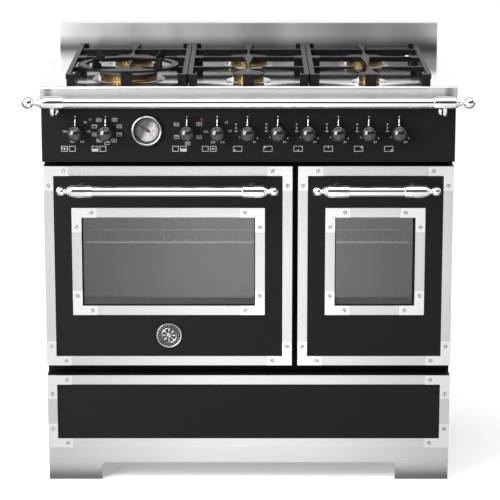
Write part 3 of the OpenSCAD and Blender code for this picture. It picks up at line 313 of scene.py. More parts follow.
# %% The hob's steel
BASIN_TOP = (0.8972, 0.8988)    # heights between which the basin ends and the rim begins
RIM_BACK = (-0.2235, -0.2195)   # the same along y, at the front rim's inner edge
FASCIA = (-0.2655, -0.2625)     # where the upright fascia ends and the rim begins
hob_finish = Finish("hob_steel", grey(0.68), metal=1.0, rough=0.17)
hob_lines = hob_finish.noise((ALONG, ACROSS, ACROSS), 2.0)
low_down = hob_finish.spread(hob_finish.along("Z"), 1, 0, *BASIN_TOP)
behind_rim = hob_finish.spread(hob_finish.along("Y"), 0, 1, *RIM_BACK)
inside = worked(hob_finish.tree, "MULTIPLY", low_down, behind_rim)
# painted reflection: the basin inside the rim is tinted darker by place, standing in for the dark castings it
# mirrors
hob_finish.tint(inside, grey(0.3), 0, 1)
# the fascia is brushed coarser than the polished top
coarse = hob_finish.spread(hob_finish.along("Y"), 0.2, 0.0, *FASCIA)
hob_rough = worked(hob_finish.tree, "ADD", coarse, hob_finish.spread(hob_lines, 0.085, 0.11))
hob_finish.tree.links.new(hob_rough, hob_finish.shader.inputs["Roughness"])
hob_steel = hob_finish.material

# %% The fascia's end pieces
# painted reflection: one soft upright darker band on them stands in for the dark gap beside the studio that
# they mirror
PAINTED_STRIPE_AT, PAINTED_STRIPE = 0.432, (0.012, 0.003)   # its distance from the middle, then where it starts and is full
end_finish = Finish("end_piece_steel", grey(0.66), metal=1.0, rough=0.26)
outwards = worked(end_finish.tree, "ABSOLUTE", end_finish.along("X"))
from_painted_stripe = worked(end_finish.tree, "ABSOLUTE", worked(end_finish.tree, "SUBTRACT", outwards, PAINTED_STRIPE_AT))
end_finish.rough(end_finish.noise((ACROSS, ACROSS, ALONG), 2.0), 0.32, 0.34)
end_steel = end_finish.tint(from_painted_stripe, grey(0.3), *PAINTED_STRIPE).material
print(len(bpy.data.materials), "materials after the steels")

# %% Chrome and brass
def polished(name, colour, noise, low, high, **looks):
    """A smooth finish whose roughness drifts from low to high; noise is (cells in a metre, detail)."""
    f = Finish(name, colour, **looks)
    return f.rough(f.noise(*noise), low, high).material


chrome = polished("polished_chrome", (0.86, 0.86, 0.87), (60, 5.0), 0.025, 0.075, metal=1.0, rough=0.04)
bezel_chrome = polished("bezel_chrome", grey(0.55), (120, 3.0), 0.08, 0.18, metal=1.0, rough=0.12)
wire = polished("chromed_wire", (0.82, 0.82, 0.83), (300, 3.0), 0.12, 0.25, metal=1.0, rough=0.15)
dark_chrome = polished("dark_lacquer", (0.012, 0.012, 0.013), (250, 4.0), 0.08, 0.14, rough=0.1, shine=0.9)
brass_finish = Finish("burner_brass", (0.27, 0.172, 0.06), metal=1.0, rough=0.36)
brass_grain = brass_finish.noise((220, 220, 900), 4.0)
brass = brass_finish.rough(brass_grain, 0.28, 0.48).tint(brass_grain, (0.15, 0.09, 0.03)).material

# %% Enamel and iron
enamel_finish = Finish("black_enamel", (0.0095, 0.0095, 0.0097), rough=0.42, shine=0.06)
peel = enamel_finish.noise(420, 2.0)
enamel = enamel_finish.rough(peel, 0.38, 0.47).bump(peel, 0.015, 0.3).material

cap_finish = Finish("cap_enamel", (0.02, 0.02, 0.021), rough=0.5, shine=0.4)
cap_grain = cap_finish.noise(900)
cap_enamel = cap_finish.rough(cap_grain, 0.42, 0.6).bump(cap_grain, 0.03, 0.4).material

iron_finish = Finish("cast_iron", grey(0.0045), rough=0.4, shine=0.13)
iron_grain = iron_finish.noise(650, 5.0, 0.65)
iron_finish.rough(iron_grain, 0.3, 0.5).bump(iron_grain, 0.06, 0.4)
iron = iron_finish.tint(iron_finish.noise(25), (0.008, 0.008, 0.0076)).material

# the ovens' enamel has small pale flecks, one in each cell of a Voronoi pattern, on a dark ground
FLECK = 0.16            # a fleck's radius as a share of its cell
oven_finish = Finish("oven_enamel", (0.05, 0.05, 0.053), rough=0.32)
cells = oven_finish.add("ShaderNodeTexVoronoi", Vector=oven_finish.place, Scale=420.0).outputs["Distance"]
oven_finish.tint(cells, (0.35, 0.35, 0.36), FLECK, 0.6 * FLECK)
oven_enamel = oven_finish.rough(oven_finish.noise(200), 0.25, 0.42).material


# %% Plain coats
def coated(name, base, other, scale, low, high, metal=0.0, height=0.0, shine=0.5):
    """A plain coat: its colour drifts towards another with the noise, and its roughness follows."""
    f = Finish(name, base, metal=metal, shine=shine)
    grain = f.noise(scale, 4.0)
    f.rough(grain, low, high).tint(grain, other)
    return (f.bump(grain, height, 0.5) if height else f).material


# name, colour, the colour it drifts to, the noise's cells in a metre, and the two ends of the roughness
zinc = coated("zinc_sheet", (0.48, 0.5, 0.52), (0.43, 0.45, 0.47), 70, 0.34, 0.44, metal=1.0)
heater = coated("heater_tube", (0.16, 0.14, 0.125), (0.08, 0.075, 0.075), 90, 0.4, 0.6, metal=0.8)
# near black for the medallion's ground, the gauge's groove and the lamps' rings; round the screw heads it is
# painted shadow
near_black_and_shadow = coated("near_black_and_screw_shadow", grey(0.01), grey(0.02), 500, 0.6, 0.8)
feet_black = coated("feet_plastic", grey(0.02), grey(0.035), 300, 0.45, 0.6, height=0.05)
seal = coated("woven_seal", (0.05, 0.05, 0.048), grey(0.015), 700, 0.7, 0.9, height=0.5)
ceramic = coated("spark_ceramic", (0.8, 0.78, 0.72), (0.66, 0.63, 0.56), 150, 0.2, 0.35)
lamp_red = coated("lamp_red", (0.13, 0.014, 0.005), (0.08, 0.008, 0.003), 500, 0.1, 0.2)
needle_red = coated("needle_red", (0.06, 0.008, 0.012), (0.1, 0.012, 0.015), 300, 0.3, 0.45)
print_white = coated("printed_white", grey(0.42), grey(0.3), 400, 0.5, 0.6)
print_dark = coated("printed_dark", (0.035, 0.035, 0.04), (0.08, 0.08, 0.085), 400, 0.5, 0.6)
electrics = coated("switch_body", (0.6, 0.58, 0.52), (0.45, 0.43, 0.39), 120, 0.4, 0.6)
# black of the windows' border: print, with painted shadow of the opening's inner edge on the outer side
black_print_and_shadow = coated("black_print_and_painted_shadow", grey(0.004), grey(0.007), 400, 0.5, 0.6, shine=0.1)
# a dark grey for the strip along the outer pane's lower edge
lower_band_grey = coated("pane_lower_band_grey", (0.035, 0.035, 0.036), (0.045, 0.045, 0.046), 300, 0.45, 0.6, shine=0.2)

# %% The dial and the panes
# painted reflection: the dial is tinted pale at its lower right and dark at its upper left, standing in for
# the light a spun dial mirrors to one side
PAINTED_SHEEN_LEAN, PAINTED_SHEEN_STEP = (0.85, 0, -0.52), (-0.609, -0.598)   # towards the pale side, and its two ends
dial_finish = Finish("dial_silver", (0.16, 0.165, 0.16), metal=0.5, rough=0.4)
painted_sheen = dial_finish.add("ShaderNodeVectorMath", i0=dial_finish.place, i1=PAINTED_SHEEN_LEAN)
painted_sheen.operation = "DOT_PRODUCT"
dial_finish.rough(dial_finish.noise(160), 0.35, 0.5)
dial_silver = dial_finish.tint(painted_sheen.outputs["Value"], grey(0.75), *PAINTED_SHEEN_STEP).material

# an outer pane carries a thin metal film, which mirrors the studio in grey and still lets some light by
glass = polished("coated_glass", grey(0.29), (3, 2.0), 0.04, 0.09, metal=1.0, rough=0.06, alpha=0.25)
inner_glass = polished("inner_glass", grey(0.03), (4, 2.0), 0.03, 0.07, rough=0.04, shine=0.3, alpha=0.05)
clear = polished("gauge_glass", grey(0.02), (20, 3.0), 0.02, 0.06, rough=0.03, alpha=0.1)
print(len(bpy.data.materials), "materials in all")

# %% [markdown]
# ## The exact parts keep their shapes
# Plain sheets, castings, wires and hidden parts are right as they come, so only their finish is put
# on. The small parts that the eye rests on, such as handles, knobs and trims, are made anew below.

# %% Finishes on the exact parts
wears = {
    enamel: ["side_panels", "front_frame", "door_left_panel", "door_right_panel", "drawer_front",
             "control_panel"],
    zinc: ["rear_cover", "base_frame", "drawer_box", "runner_middle"],
    brushed_x: ["plinth", "door_left_trim", "door_right_trim", "drawer_trim"],
    hob_steel: ["worktop"],
    back_steel: ["backguard"],
    oven_enamel: ["oven_cavity_left", "oven_cavity_right", "door_left_liner", "door_right_liner"],
    wire: ["rack_guides", "rack_left", "rack_right", "fan"],
    glass: ["door_left_glass", "door_right_glass"],
    brass: ["gas_manifold", "burner_crowns"],
    chrome: ["towel_rail", "door_left_handle", "door_right_handle", "gauge_case"],
    iron: ["grate_left", "grate_middle", "grate_right", "wok_ring"],
    cap_enamel: ["burner_caps"],
    heater: ["heating_elements"],
    feet_black: ["levelling_feet"],
    seal: ["door_seals"],
    ceramic: ["spark_plugs"],
    lamp_red: ["indicator_lamps"],
    needle_red: ["gauge_needle"],
    electrics: ["oven_electrics"],
}
wears[dark_chrome] = [name for name in nodes if name.startswith("knob_")]
wears[wire] += [name for name in nodes if name.startswith("spindle_")]
for finish, names in wears.items():
    for name in names:
        nodes[name].data.materials.clear()
        nodes[name].data.materials.append(finish)
print(sum(len(n) for n in wears.values()), "exact parts finished")

# %% [markdown]
# ## Towel rail and door handles
# On the real cooker these are steel tubes with turned ends, chromed and polished: a sleeve holds
# the tube, then come a stepped collar, a beaded neck and a ball. Each is one lathe profile here,
# mirrored to the other end, so the chrome runs on without a seam. Stacked spheres and cylinders
# would be easier to read, but they'd show hard lines where the real one has soft hollows.

# %% Turned ends
SLEEVE, COLLAR = 47.5, 9.0      # lengths of the sleeve and of the collar


def end_profile(ball, tube, swell, knob, neck):
    """Rows from the tube outwards. The sleeve's radius is s + (swell - s) * (1 - (2 t - 1) ** 2) for
    t from 0 to 1, where s is its radius at its ends; the ball is a circle about ball."""
    collar = ball - neck - COLLAR
    start = collar - SLEEVE
    ends = tube + 1.9
    t = np.linspace(0, 1, 13)
    body = np.stack([start + 0.8 + t * (SLEEVE - 1.8), ends + (swell - ends) * (1 - (2 * t - 1) ** 2)], -1)
    thin = knob * 0.42
    rows = [(start, tube), (start, tube + 1.0), (start + 0.2, tube + 1.6)] + body.tolist()
    rows += [(collar - 0.5, tube + 1.5), (collar - 0.2, tube - 0.6), (collar, tube - 1.4)]
    rows += arc(collar + 1.6, tube - 1.2, 1.5, 170, 10, 7)
    rows += [(collar + 3.3, tube - 1.8), (collar + 3.7, tube - 2.6)]
    rows += arc(collar + 5.1, tube - 3.0, 1.3, 170, 10, 6)
    rows += [(collar + 6.6, tube - 4.0), (collar + COLLAR - 0.6, thin + 0.6)]
    rows += arc(collar + COLLAR + 1.4, thin, 1.9, 150, 30, 7)
    open_at = math.degrees(math.asin(thin / knob))
    rows += [(collar + COLLAR + 3.6, thin)] + arc(ball, 0, knob, 180 - open_at, 1.5, 22)
    return np.array(rows)


def bar_with_ends(mid, depth, height, ball, tube, swell, knob, neck):
    """The whole bar: the end's rows on the right, and the same rows mirrored on the left."""
    right = end_profile(ball, tube, swell, knob, neck)
    left = right[::-1] * (-1, 1)
    return turned(np.concatenate([left, right]), (mid, depth, height), "x", 48)


def swept(path, radius, side=(1, 0, 0), around=20):
    """A tube along a flat path: p + r (cos a * side + sin a * (t x side)), with t along the path."""
    path = np.asarray(path, float)
    t = np.gradient(path, axis=0)
    t /= np.linalg.norm(t, axis=1)[:, None]
    up = np.cross(t, side)
    a = np.linspace(0, 2 * np.pi, around, endpoint=False)[None, :, None]
    r = np.broadcast_to(radius, len(path))[:, None, None]
    return skin(path[:, None] + r * (np.cos(a) * np.asarray(side, float) + np.sin(a) * up[:, None]))


# %% The towel rail
# a ball lies at its distance from the bar's middle; tube, swell and knob are radii, neck is a length
RAIL = {"depth": -50.0, "height": 873.0, "ball": 471.0, "tube": 10.7, "swell": 14.2, "knob": 12.7,
        "neck": 19.0}
ROD_R, BEND_R, FOOT_Z = 5.2, 12, 845        # the rods' radius, their elbow's radius, their feet's height
rail_mid = RAIL["ball"] - RAIL["neck"] - COLLAR - SLEEVE / 2
bend = np.radians(np.linspace(0, 90, 12))
elbow = np.stack([0 * bend, -38 - BEND_R * np.cos(bend), FOOT_Z + BEND_R - BEND_R * np.sin(bend)], -1)
rod_path = np.concatenate([[(0, RAIL["depth"], 866)], elbow, [(0, -20, FOOT_Z), (0, 8, FOOT_Z)]])
foot_profile = [(5.4, 5.2), (6.0, 6.4), (7.0, 8.6), (8.6, 9.6), (9.9, 9.2), (9.9, 5)]
rail_parts = [bar_with_ends(0, **RAIL)]
for x in (-rail_mid, rail_mid):
    rail_parts += [swept(rod_path + (x, 0, 0), ROD_R), turned(foot_profile, (x, 0, FOOT_Z), "y", 32)]
piece("towel_rail_chrome", rail_parts, "cooker", chrome, ["towel_rail"])

# %% The door handles
HANDLE = {"depth": -30.0, "height": 676.0, "tube": 10.9, "swell": 13.6, "knob": 10.2, "neck": 11.5}
BALL_IN = 41.5                              # from a door's side to the centre of its handle's ball
post_profile = [(-30, 5.2), (-6, 5.2), (8, 5.6), (14, 6.6), (17.5, 8.6), (19.2, 9.6), (21.0, 9.8),
                (21.8, 9.4)]
DOORS = {"left": (-447.0, 543.0), "right": (108.0, 339.0)}      # left edge and width of each door
for side, (x0, width) in DOORS.items():
    mid = x0 + width / 2
    ball = width / 2 - BALL_IN
    post = ball - HANDLE["neck"] - COLLAR - SLEEVE / 2
    parts = [bar_with_ends(mid, ball=ball, **HANDLE)]
    parts += [turned(post_profile, (mid + s * post, 0, HANDLE["height"]), "y", 32) for s in (-1, 1)]
    piece(f"door_{side}_handle_chrome", parts, f"door_{side}", chrome, [f"door_{side}_handle"])

# %% [markdown]
# ## Steel trims
# Each door, window and drawer wears a frame of brushed strips, with an L-shaped bracket and two
# slotted screws on each corner. The real strips are stamped from sheet, so their edges are rolled
# over a little. Upright strips are brushed up and down, the others from side to side, which shows as
# a change of tone at each corner. The screws are two half discs on a near black ring, a painted
# shadow round each head, which also shows as the dark bottom of a real slot between them.

# %% Strips and brackets
STRIP, ARM = 21.5, 54.5                     # width of a strip, and length of a bracket's arm
STRIP_DEPTHS, BRACKET_DEPTHS = (20, 22), (18.9, 19.95)      # front and back of each
BRACKET_IN = 0.15                           # a bracket lies this far inside the strips' outer edge


def strips(x, z, w, h):
    """(lying strips, standing strips) of a frame, 2 mm thick."""
    lying = [oblong(x, b, x + w, b + STRIP) for b in (z, z + h - STRIP)]
    standing = [oblong(a, z + STRIP, a + STRIP, z + h - STRIP) for a in (x, x + w - STRIP)]
    return [[plate(outline, *STRIP_DEPTHS, 0.5) for outline in row] for row in (lying, standing)]


def brackets(x, z, w, h):
    """Four L plates. The outline of the low left one is mirrored to the others, and kept turning left."""
    corner = np.array([(0, 0), (ARM, 0), (ARM, STRIP), (STRIP, STRIP), (STRIP, ARM), (0, ARM)], float)
    corner += BRACKET_IN
    made = []
    for sx in (1, -1):
        for sz in (1, -1):
            outline = corner * (sx, sz) + (x if sx > 0 else x + w, z if sz > 0 else z + h)
            made.append(plate(outline[::sx * sz], *BRACKET_DEPTHS, 0.45))
    return made


# %% Screws
SCREW_AT, SCREW_R, SCREW_DEPTHS = 43.5, 3.65, (17.5, 18.95)     # far screw from its corner, radius, depths
SLOT_FROM = 9               # degrees from the middle line at which a half disc starts, 0.6 mm off it
# a near black ring round each screw head: painted shadow, which also darkens the slot's bottom
shadow_ring_rows = [(18.2, 0.3), (18.2, 4.2), (18.85, 4.35)]


def screw_spots(x, z, w, h):
    """Eight screws of a frame: two on each corner."""
    near, far = SCREW_AT, STRIP / 2
    return [(x + (a if left else w - a), z + (b if low else h - b))
            for left in (1, 0) for low in (1, 0) for a, b in ((near, far), (far, near))]


def screw(x, z, turn):
    """Two half discs with rounded faces and a slot between them, turned about the screw's own axis."""
    a = np.radians(np.linspace(SLOT_FROM, 180 - SLOT_FROM, 11))
    half = np.stack([SCREW_R * np.cos(a), SCREW_R * np.sin(a)], -1)
    return [plate(spun(half, angle) + (x, z), *SCREW_DEPTHS, 0.5) for angle in (turn, turn + 180)]


# %% Every trim
WINDOW_IN, TURN = 60, 37        # a window's frame inside its door, and each screw's turn from the last


def trim(name, frames, body, node):
    """The trim of one leaf: strips, brackets and screws of all its frames."""
    both = [strips(*f) for f in frames]
    worn = {brushed_x: [s for lying, _ in both for s in lying],
            brushed_z: [s for _, standing in both for s in standing]}
    piece(f"{name}_strips", worn, body, None, [node])
    corners = [b for f in frames for b in brackets(*f)]
    piece(f"{name}_brackets", corners, body, bracket_steel, [node])
    spots = [spot for f in frames for spot in screw_spots(*f)]
    screws = [s for i, (x, z) in enumerate(spots) for s in screw(x, z, TURN * i % 180)]
    piece(f"{name}_screws", screws, body, screw_steel, [node])
    shadow_rings = [turned(shadow_ring_rows, (x, 0, z), "y", 16) for x, z in spots]
    piece(f"{name}_screw_shadow_rings", shadow_rings, body, near_black_and_shadow, [node])


# a frame is (left edge, foot, width, height)
for side, (x0, width) in DOORS.items():
    door_frame = (x0, 271.7, width, 450.0)
    window_frame = (x0 + WINDOW_IN, 387.0, width - 2 * WINDOW_IN, 242.0)
    trim(f"door_{side}_trim", [door_frame, window_frame], f"door_{side}", f"door_{side}_trim")
trim("drawer_trim", [(-447.0, 81.0, 894.0, 168.0)], "drawer", "drawer_trim")

# %% [markdown]
# ## The medallion
# A round badge with a plain rosette sits low on the left door: a raised rim, a ring, beads and eight
# petals round a boss, bright on a ground of black enamel. It is a casting, so all its edges are soft.

# %% Rosette
MEDAL = np.array([-175.5, 340.7])       # x and z of its middle
BEADS, BEAD_RING = 24, 21       # number of beads, and radius of the circle they lie on
PETALS, PETAL_AT = 8, 10.6      # number of petals, and distance of their middles from the boss
rim_rows = [(21.9, 24.2), (19.2, 24.3), (18.5, 25.0), (18.1, 26.2), (18.6, 27.6), (20.0, 28.0), (21.9, 27.6)]
ring_rows = [(20.2, 15.6), (19.3, 15.7), (19.0, 16.3), (19.3, 16.9), (20.2, 17.0)]
boss_rows = [(18.1, 0.4), (18.3, 3.4), (18.8, 5.0), (19.6, 5.6), (20.2, 5.7)]
ground_rows = [(19.9, 0.4), (19.9, 24.6), (21.8, 24.8)]
bead_rows = arc(19.7, 0, 1.2, 176, 20, 5)
centre = (MEDAL[0], 0, MEDAL[1])
rosette = [turned(rows, centre, "y", 64) for rows in (rim_rows, ring_rows, boss_rows)]
for a in np.radians(np.arange(BEADS) * 360 / BEADS):
    x, z = MEDAL + (BEAD_RING * math.cos(a), BEAD_RING * math.sin(a))
    rosette.append(turned(bead_rows, (x, 0, z), "y", 8))
# a petal is an oval that swells outwards: 4.2 cos a long, and 2.1 sin a * (1 + 0.45 cos a) wide
a = np.linspace(0, 2 * np.pi, 20, endpoint=False)
petal = np.stack([PETAL_AT + 4.2 * np.cos(a), 2.1 * np.sin(a) * (1 + 0.45 * np.cos(a))], -1)
for k in range(PETALS):
    rosette.append(plate(spun(petal, 360 / PETALS * k) + MEDAL, 18.8, 19.95, 0.7, 4))
worn = {medal_metal: rosette, near_black_and_shadow: [turned(ground_rows, centre, "y", 48)]}
piece("door_left_medallion", worn, "door_left", None, ["door_left_trim"], 50)

# %% [markdown]
# ## Knobs
# Each knob is a dark polished ball on a short waisted neck, with a base disc and a slim turned
# pointer that stands up from it. Everything but the pointer is one lathe profile along the depth.

# %% Balls, discs and pointers
KNOB_Z, POINTER_DEPTH = 800.0, 4.5          # height of the knobs' middles, depth of their pointers
BALL_DEPTH, BALL_R = -17.0, 17.5            # depth of a ball's middle, and its radius
knob_x = {"left_oven_heat": -374.5, "left_oven_function": -309.0, "right_oven_function": -133.0,
          "right_oven_heat": -67.5, "front_left": -2.0, "rear_left": 63.5, "front_middle": 129.0,
          "rear_middle": 194.5, "rear_right": 260.0, "front_right": 325.5}
ball_rows = arc(BALL_DEPTH, 0, BALL_R, 178.5, 29, 26)
ball_rows += [(-0.8, 7.0), (0.4, 6.6), (1.6, 7.0), (2.6, 8.2), (3.0, 9.6), (3.3, 10.5), (4.0, 11.0),
              (5.4, 11.0), (5.9, 10.6)]
pointer_rows = [(9.0, 1.2), (11.0, 1.5), (13.5, 2.1), (15.5, 2.3), (17.0, 1.6), (18.0, 1.2), (19.5, 2.0),
                (21.0, 2.2), (22.5, 1.5), (24.0, 1.0), (26.5, 1.1), (28.0, 0.8), (29.0, 0.2)]
for name, x in knob_x.items():
    worn = {dark_chrome: [turned(ball_rows, (x, 0, KNOB_Z), "y", 48)],
            chrome: [turned(pointer_rows, (x, POINTER_DEPTH, KNOB_Z), "z", 14)]}
    piece(f"knob_{name}_ball", worn, f"knob_{name}", None, [f"knob_{name}"])

# %% [markdown]
# ## The gauge
# The oven thermometer is a silver dial under a thin pane. Its bezel is a lathe profile with a groove
# inside the rim, and its ticks are thin raised plates, as printing shows from close by.

# %% Bezel, dial and pane
GAUGE = np.array([-220.0, 803.0])       # x and z of its middle
gauge_spot = (GAUGE[0], 0, GAUGE[1])
bezel_rows = [(9.9, 28.2), (1.5, 28.2), (-0.9, 28.7), (-1.8, 29.6), (-2.0, 30.6), (-1.6, 31.8), (-0.6, 32.7),
              (0.8, 33.0), (7.6, 33.0), (8.8, 32.6), (9.9, 32.5)]
groove_rows = [(9.9, 24.9), (6.0, 24.9), (3.2, 25.6), (1.9, 28.3), (9.9, 28.4)]
dial_rows = [(8.95, 0.3), (8.7, 0.6), (8.7, 25.2), (9.9, 25.4)]
pane_rows = [(1.2, 0.3), (0.6, 9.0), (1.0, 18.0), (1.9, 25.6), (2.5, 25.8), (2.9, 0.3)]
worn = {bezel_chrome: [turned(bezel_rows, gauge_spot, "y", 72)],
        near_black_and_shadow: [turned(groove_rows, gauge_spot, "y", 72)]}
piece("gauge_bezel", worn, "cooker", None, ["gauge_case"])
dial = [turned(dial_rows, gauge_spot, "y", 64)]
piece("gauge_dial", dial, "cooker", dial_silver, ["gauge_case"])

# %% Needle
NEEDLE_AT = 59.0                # degrees counter-clockwise from the top
hub_rows = [(4.9, 0.3), (5.0, 3.0), (5.4, 3.6), (6.4, 3.6), (7.4, 3.2)]
hand = [(-1.5, -9.0), (1.5, -9.0), (1.9, 0), (0.7, 20.6), (-0.7, 20.6), (-1.9, 0)]
worn = {needle_red: [plate(spun(hand, NEEDLE_AT) + GAUGE, 5.6, 6.5, 0.2)],
        brass: [turned(hub_rows, gauge_spot, "y", 24)]}
piece("gauge_needle_hand", worn, "gauge_needle", None, ["gauge_needle"])
piece("gauge_pane", [turned(pane_rows, gauge_spot, "y", 48)], "cooker", clear, ["gauge_case"])

# %% Ticks on the dial
SCALE_END = 140                 # degrees from the top to either end of the scale
TICK_DEPTHS = (8.5, 8.75)       # the dial's face lies between them, at 8.7


def spoke(degrees, r0, r1, width):
    """A tick from radius r0 to r1, clockwise from the top."""
    box = [(-width / 2, r0), (width / 2, r0), (width / 2, r1), (-width / 2, r1)]
    return plate(spun(box, -degrees) + GAUGE, *TICK_DEPTHS, 0.02, 2)


angles = np.linspace(-SCALE_END, SCALE_END, 41)
ticks = [spoke(a, 20.6, 22.4, 0.5) if k % 5 else spoke(a, 18.8, 22.4, 1.1) for k, a in enumerate(angles)]
ring = [spoke(a, 22.6, 23.4, 3.2) for a in np.arange(-144, 145, 8.0)]
print(len(ticks), "ticks inside a ring of", len(ring), "dashes")

# %% [markdown]
# ## Printing on the panel
# Numbers and plain signs tell what the knobs do. They are printed on the real panel, and here they
# are raised by a little over a tenth of a millimetre, which is enough for the render and keeps them
# sharp. Most signs are outlines about their own middle, and numbers come from Blender's own letters.

# %% Signs as thin plates
SIGN_DEPTHS = (9.85, 10.05)     # the panel's face lies between them, at 10


def sign(outline, x, z):
    """A printed shape about (x, z), 0.15 mm proud of the panel."""
    return plate(np.asarray(outline, float) + (x, z), *SIGN_DEPTHS, 0.02, 2)


def frame_sign(x, z, w, h, line=0.9):
    """A rectangle drawn with a line: two lying bars and two standing ones."""
    a, b = w / 2, h / 2
    bars = [(-a, -b, a, -b + line), (-a, b - line, a, b), (-a, -b + line, -a + line, b - line),
            (a - line, -b + line, a, b - line)]
    return [sign(oblong(*bar), x, z) for bar in bars]


def dot(x, z, r):
    """A disc of twelve sides."""
    a = np.linspace(0, 2 * np.pi, 12, endpoint=False)
    return sign(np.stack([r * np.cos(a), r * np.sin(a)], -1), x, z)


def star(x, z, r):
    """Five points at radius r, and the corners between them at 0.45 r."""
    a = np.linspace(0, 2 * np.pi, 10, endpoint=False) + np.pi / 2
    d = np.where(np.arange(10) % 2, 0.45 * r, r)
    return sign(np.stack([d * np.cos(a), d * np.sin(a)], -1), x, z)


def flame(x, z, h):
    """A drop h high: at angle a it lies h (lift - 0.5) up and 0.34 h cos a (1 - 0.75 lift) out, where
    lift grows from 0 at the foot to 1 at the tip."""
    a = np.linspace(0, 2 * np.pi, 14, endpoint=False) - np.pi / 2
    lift = (np.sin(a) + 1) / 2
    return sign(np.stack([0.34 * h * np.cos(a) * (1 - 0.75 * lift), h * (lift - 0.5)], -1), x, z)


# %% Numbers as thin solids
NUMBER_DEPTH, NUMBER_HALF = 9.96, 0.08      # the middle of a number's thickness, and half of it


def numeral(text, x, z, size):
    """A number as a thin solid: Blender's own letter shapes, stood up to face the front."""
    curve = bpy.data.curves.new("numeral", "FONT")
    curve.body, curve.size = text, size
    curve.extrude, curve.resolution_u = NUMBER_HALF, 2
    curve.align_x, curve.align_y = "CENTER", "CENTER"
    thing = bpy.data.objects.new("numeral", curve)
    bpy.context.scene.collection.objects.link(thing)
    drawn = thing.evaluated_get(bpy.context.evaluated_depsgraph_get()).to_mesh()
    flat = np.empty(len(drawn.vertices) * 3)
    drawn.vertices.foreach_get("co", flat)
    faces = [list(p.vertices) for p in drawn.polygons]
    bpy.data.objects.remove(thing)
    bpy.data.curves.remove(curve)
    flat = flat.reshape(-1, 3)
    return np.stack([flat[:, 0] + x, NUMBER_DEPTH - flat[:, 2], flat[:, 1] + z], -1), faces


# %% Numbers on the dial
NUMBER_RING, DIAL_FORWARD = 14.4, 1.35      # the numbers' circle, and the dial in front of the panel
for value, a in zip(range(50, 351, 50), np.radians(np.linspace(-SCALE_END, SCALE_END, 7))):
    x, z = GAUGE + (NUMBER_RING * math.sin(a), NUMBER_RING * math.cos(a))
    points, faces = numeral(str(value), x, z, 4.6)
    ticks.append((points - (0, DIAL_FORWARD, 0), faces))
piece("gauge_ticks", ticks + ring, "cooker", print_dark, ())

# %% [markdown]
# ## The signs round each knob
# Each burner knob has a frame with a dot that shows which burner it feeds, a star for the spark, and
# flames for high and low. The oven knobs have temperatures or small signs for what the oven does, and
# a frame for each oven below them. Tables give each sign's place from its knob's middle.

# %% Burner knobs
FRAME_LINE, BELOW, ZERO_UP = 1.1, -38, 32.4     # frames' line, their place below, the zero dot's above
hob_spots = {"front_left": (-1, -1), "rear_left": (-1, 1), "front_middle": (0, -1), "rear_middle": (0, 1),
             "rear_right": (1, 1), "front_right": (1, -1)}      # across and back on the hob
flames = [(-25, 8.5, 5.6), (-26.4, 1.2, 4.6), (-23.4, 1.2, 4.6)]        # (across, up, height)
low_flames = [(13, -22.7, 5.2), (17, -22.7, 4.0), (21.5, -14.5, 4.6)]
marks = []
for name, (across, back) in hob_spots.items():
    x = knob_x[name]
    middle = x - 21.5
    marks += frame_sign(middle, KNOB_Z + BELOW, 19.4, 12.3, FRAME_LINE)
    marks.append(dot(middle + across * 6.2, KNOB_Z + BELOW + back * 2.9, 1.7))
    marks.append(star(x - 25, KNOB_Z + 16, 2.6))
    marks += [flame(x + dx, KNOB_Z + dz, h) for dx, dz, h in flames]
    marks += [dot(x, KNOB_Z + ZERO_UP, 1.6), dot(x - 17, KNOB_Z - 13, 1.2)]
    marks += [flame(x + dx, KNOB_Z + dz, h) for dx, dz, h in low_flames]
print(len(marks), "signs round the burner knobs")

# %% Oven temperatures
numbers = {"left_oven_heat": {"50": (21.6, 20), "100": (28.6, 0), "150": (13.9, -22.7),
                              "200": (-7.3, -22.7), "250": (-23.4, 0)},
           "right_oven_heat": {"50": (19.4, 19.4), "100": (26.8, 1), "150": (10.7, -23.9),
                               "200": (-9.4, -23.9), "250": (-24.9, -0.6)}}
for name, places in numbers.items():
    marks.append(dot(knob_x[name], KNOB_Z + ZERO_UP, 1.6))
    marks += [numeral(text, knob_x[name] + dx, KNOB_Z + dz, 6.4) for text, (dx, dz) in places.items()]

# %% Oven functions
functions = {"left_oven_function": [(-14.3, 25.2), (19.7, 25.9), (-24.2, 11.3), (29.4, 11.3), (-23.9, -6.5),
                                    (29, -6.5), (-14.2, -19.4), (18, -20), (2.6, -25.2)],
             "right_oven_function": [(-22.6, 15.5), (26.2, 16.2), (-22.6, -12), (26.2, -12.6), (1.6, -26.5)]}
for name, places in functions.items():
    marks.append(dot(knob_x[name], KNOB_Z + ZERO_UP, 1.2))
    for k, (dx, dz) in enumerate(places):
        x, z = knob_x[name] + dx, KNOB_Z + dz
        marks += frame_sign(x, z, 11.0, 7.4)
        marks += [[dot(x - 2.0, z, 1.2), dot(x + 2.0, z, 1.2)], [star(x, z, 2.4)],
                  [sign(oblong(-3.6, 1.2, 3.6, 2.2), x, z)]][k % 3]

# %% Which oven a knob belongs to
OVEN_SIGNS = [("left_oven_heat", -24.4, True, False), ("left_oven_function", -23.8, True, False),
              ("right_oven_function", -25.2, False, True), ("right_oven_heat", -26.2, False, True)]
FRAME_STEP = 17.2               # from one oven's frame to the next
for name, dx, *filled in OVEN_SIGNS:
    for k, full in enumerate(filled):
        x, z = knob_x[name] + dx + FRAME_STEP * k, KNOB_Z + BELOW
        marks += frame_sign(x, z, 13.9, 12.3, FRAME_LINE)
        if full and "function" in name:
            marks.append(sign(oblong(-6, -4.6, 6, 0.2), x, z))
        elif full:
            dashes = [oblong(-5.5, -0.6, -3, 0.6), oblong(3, -0.6, 5.5, 0.6)]
            marks += [dot(x, z, 2.2)] + [sign(dash, x, z) for dash in dashes]
piece("panel_print", marks, "cooker", print_white, ())

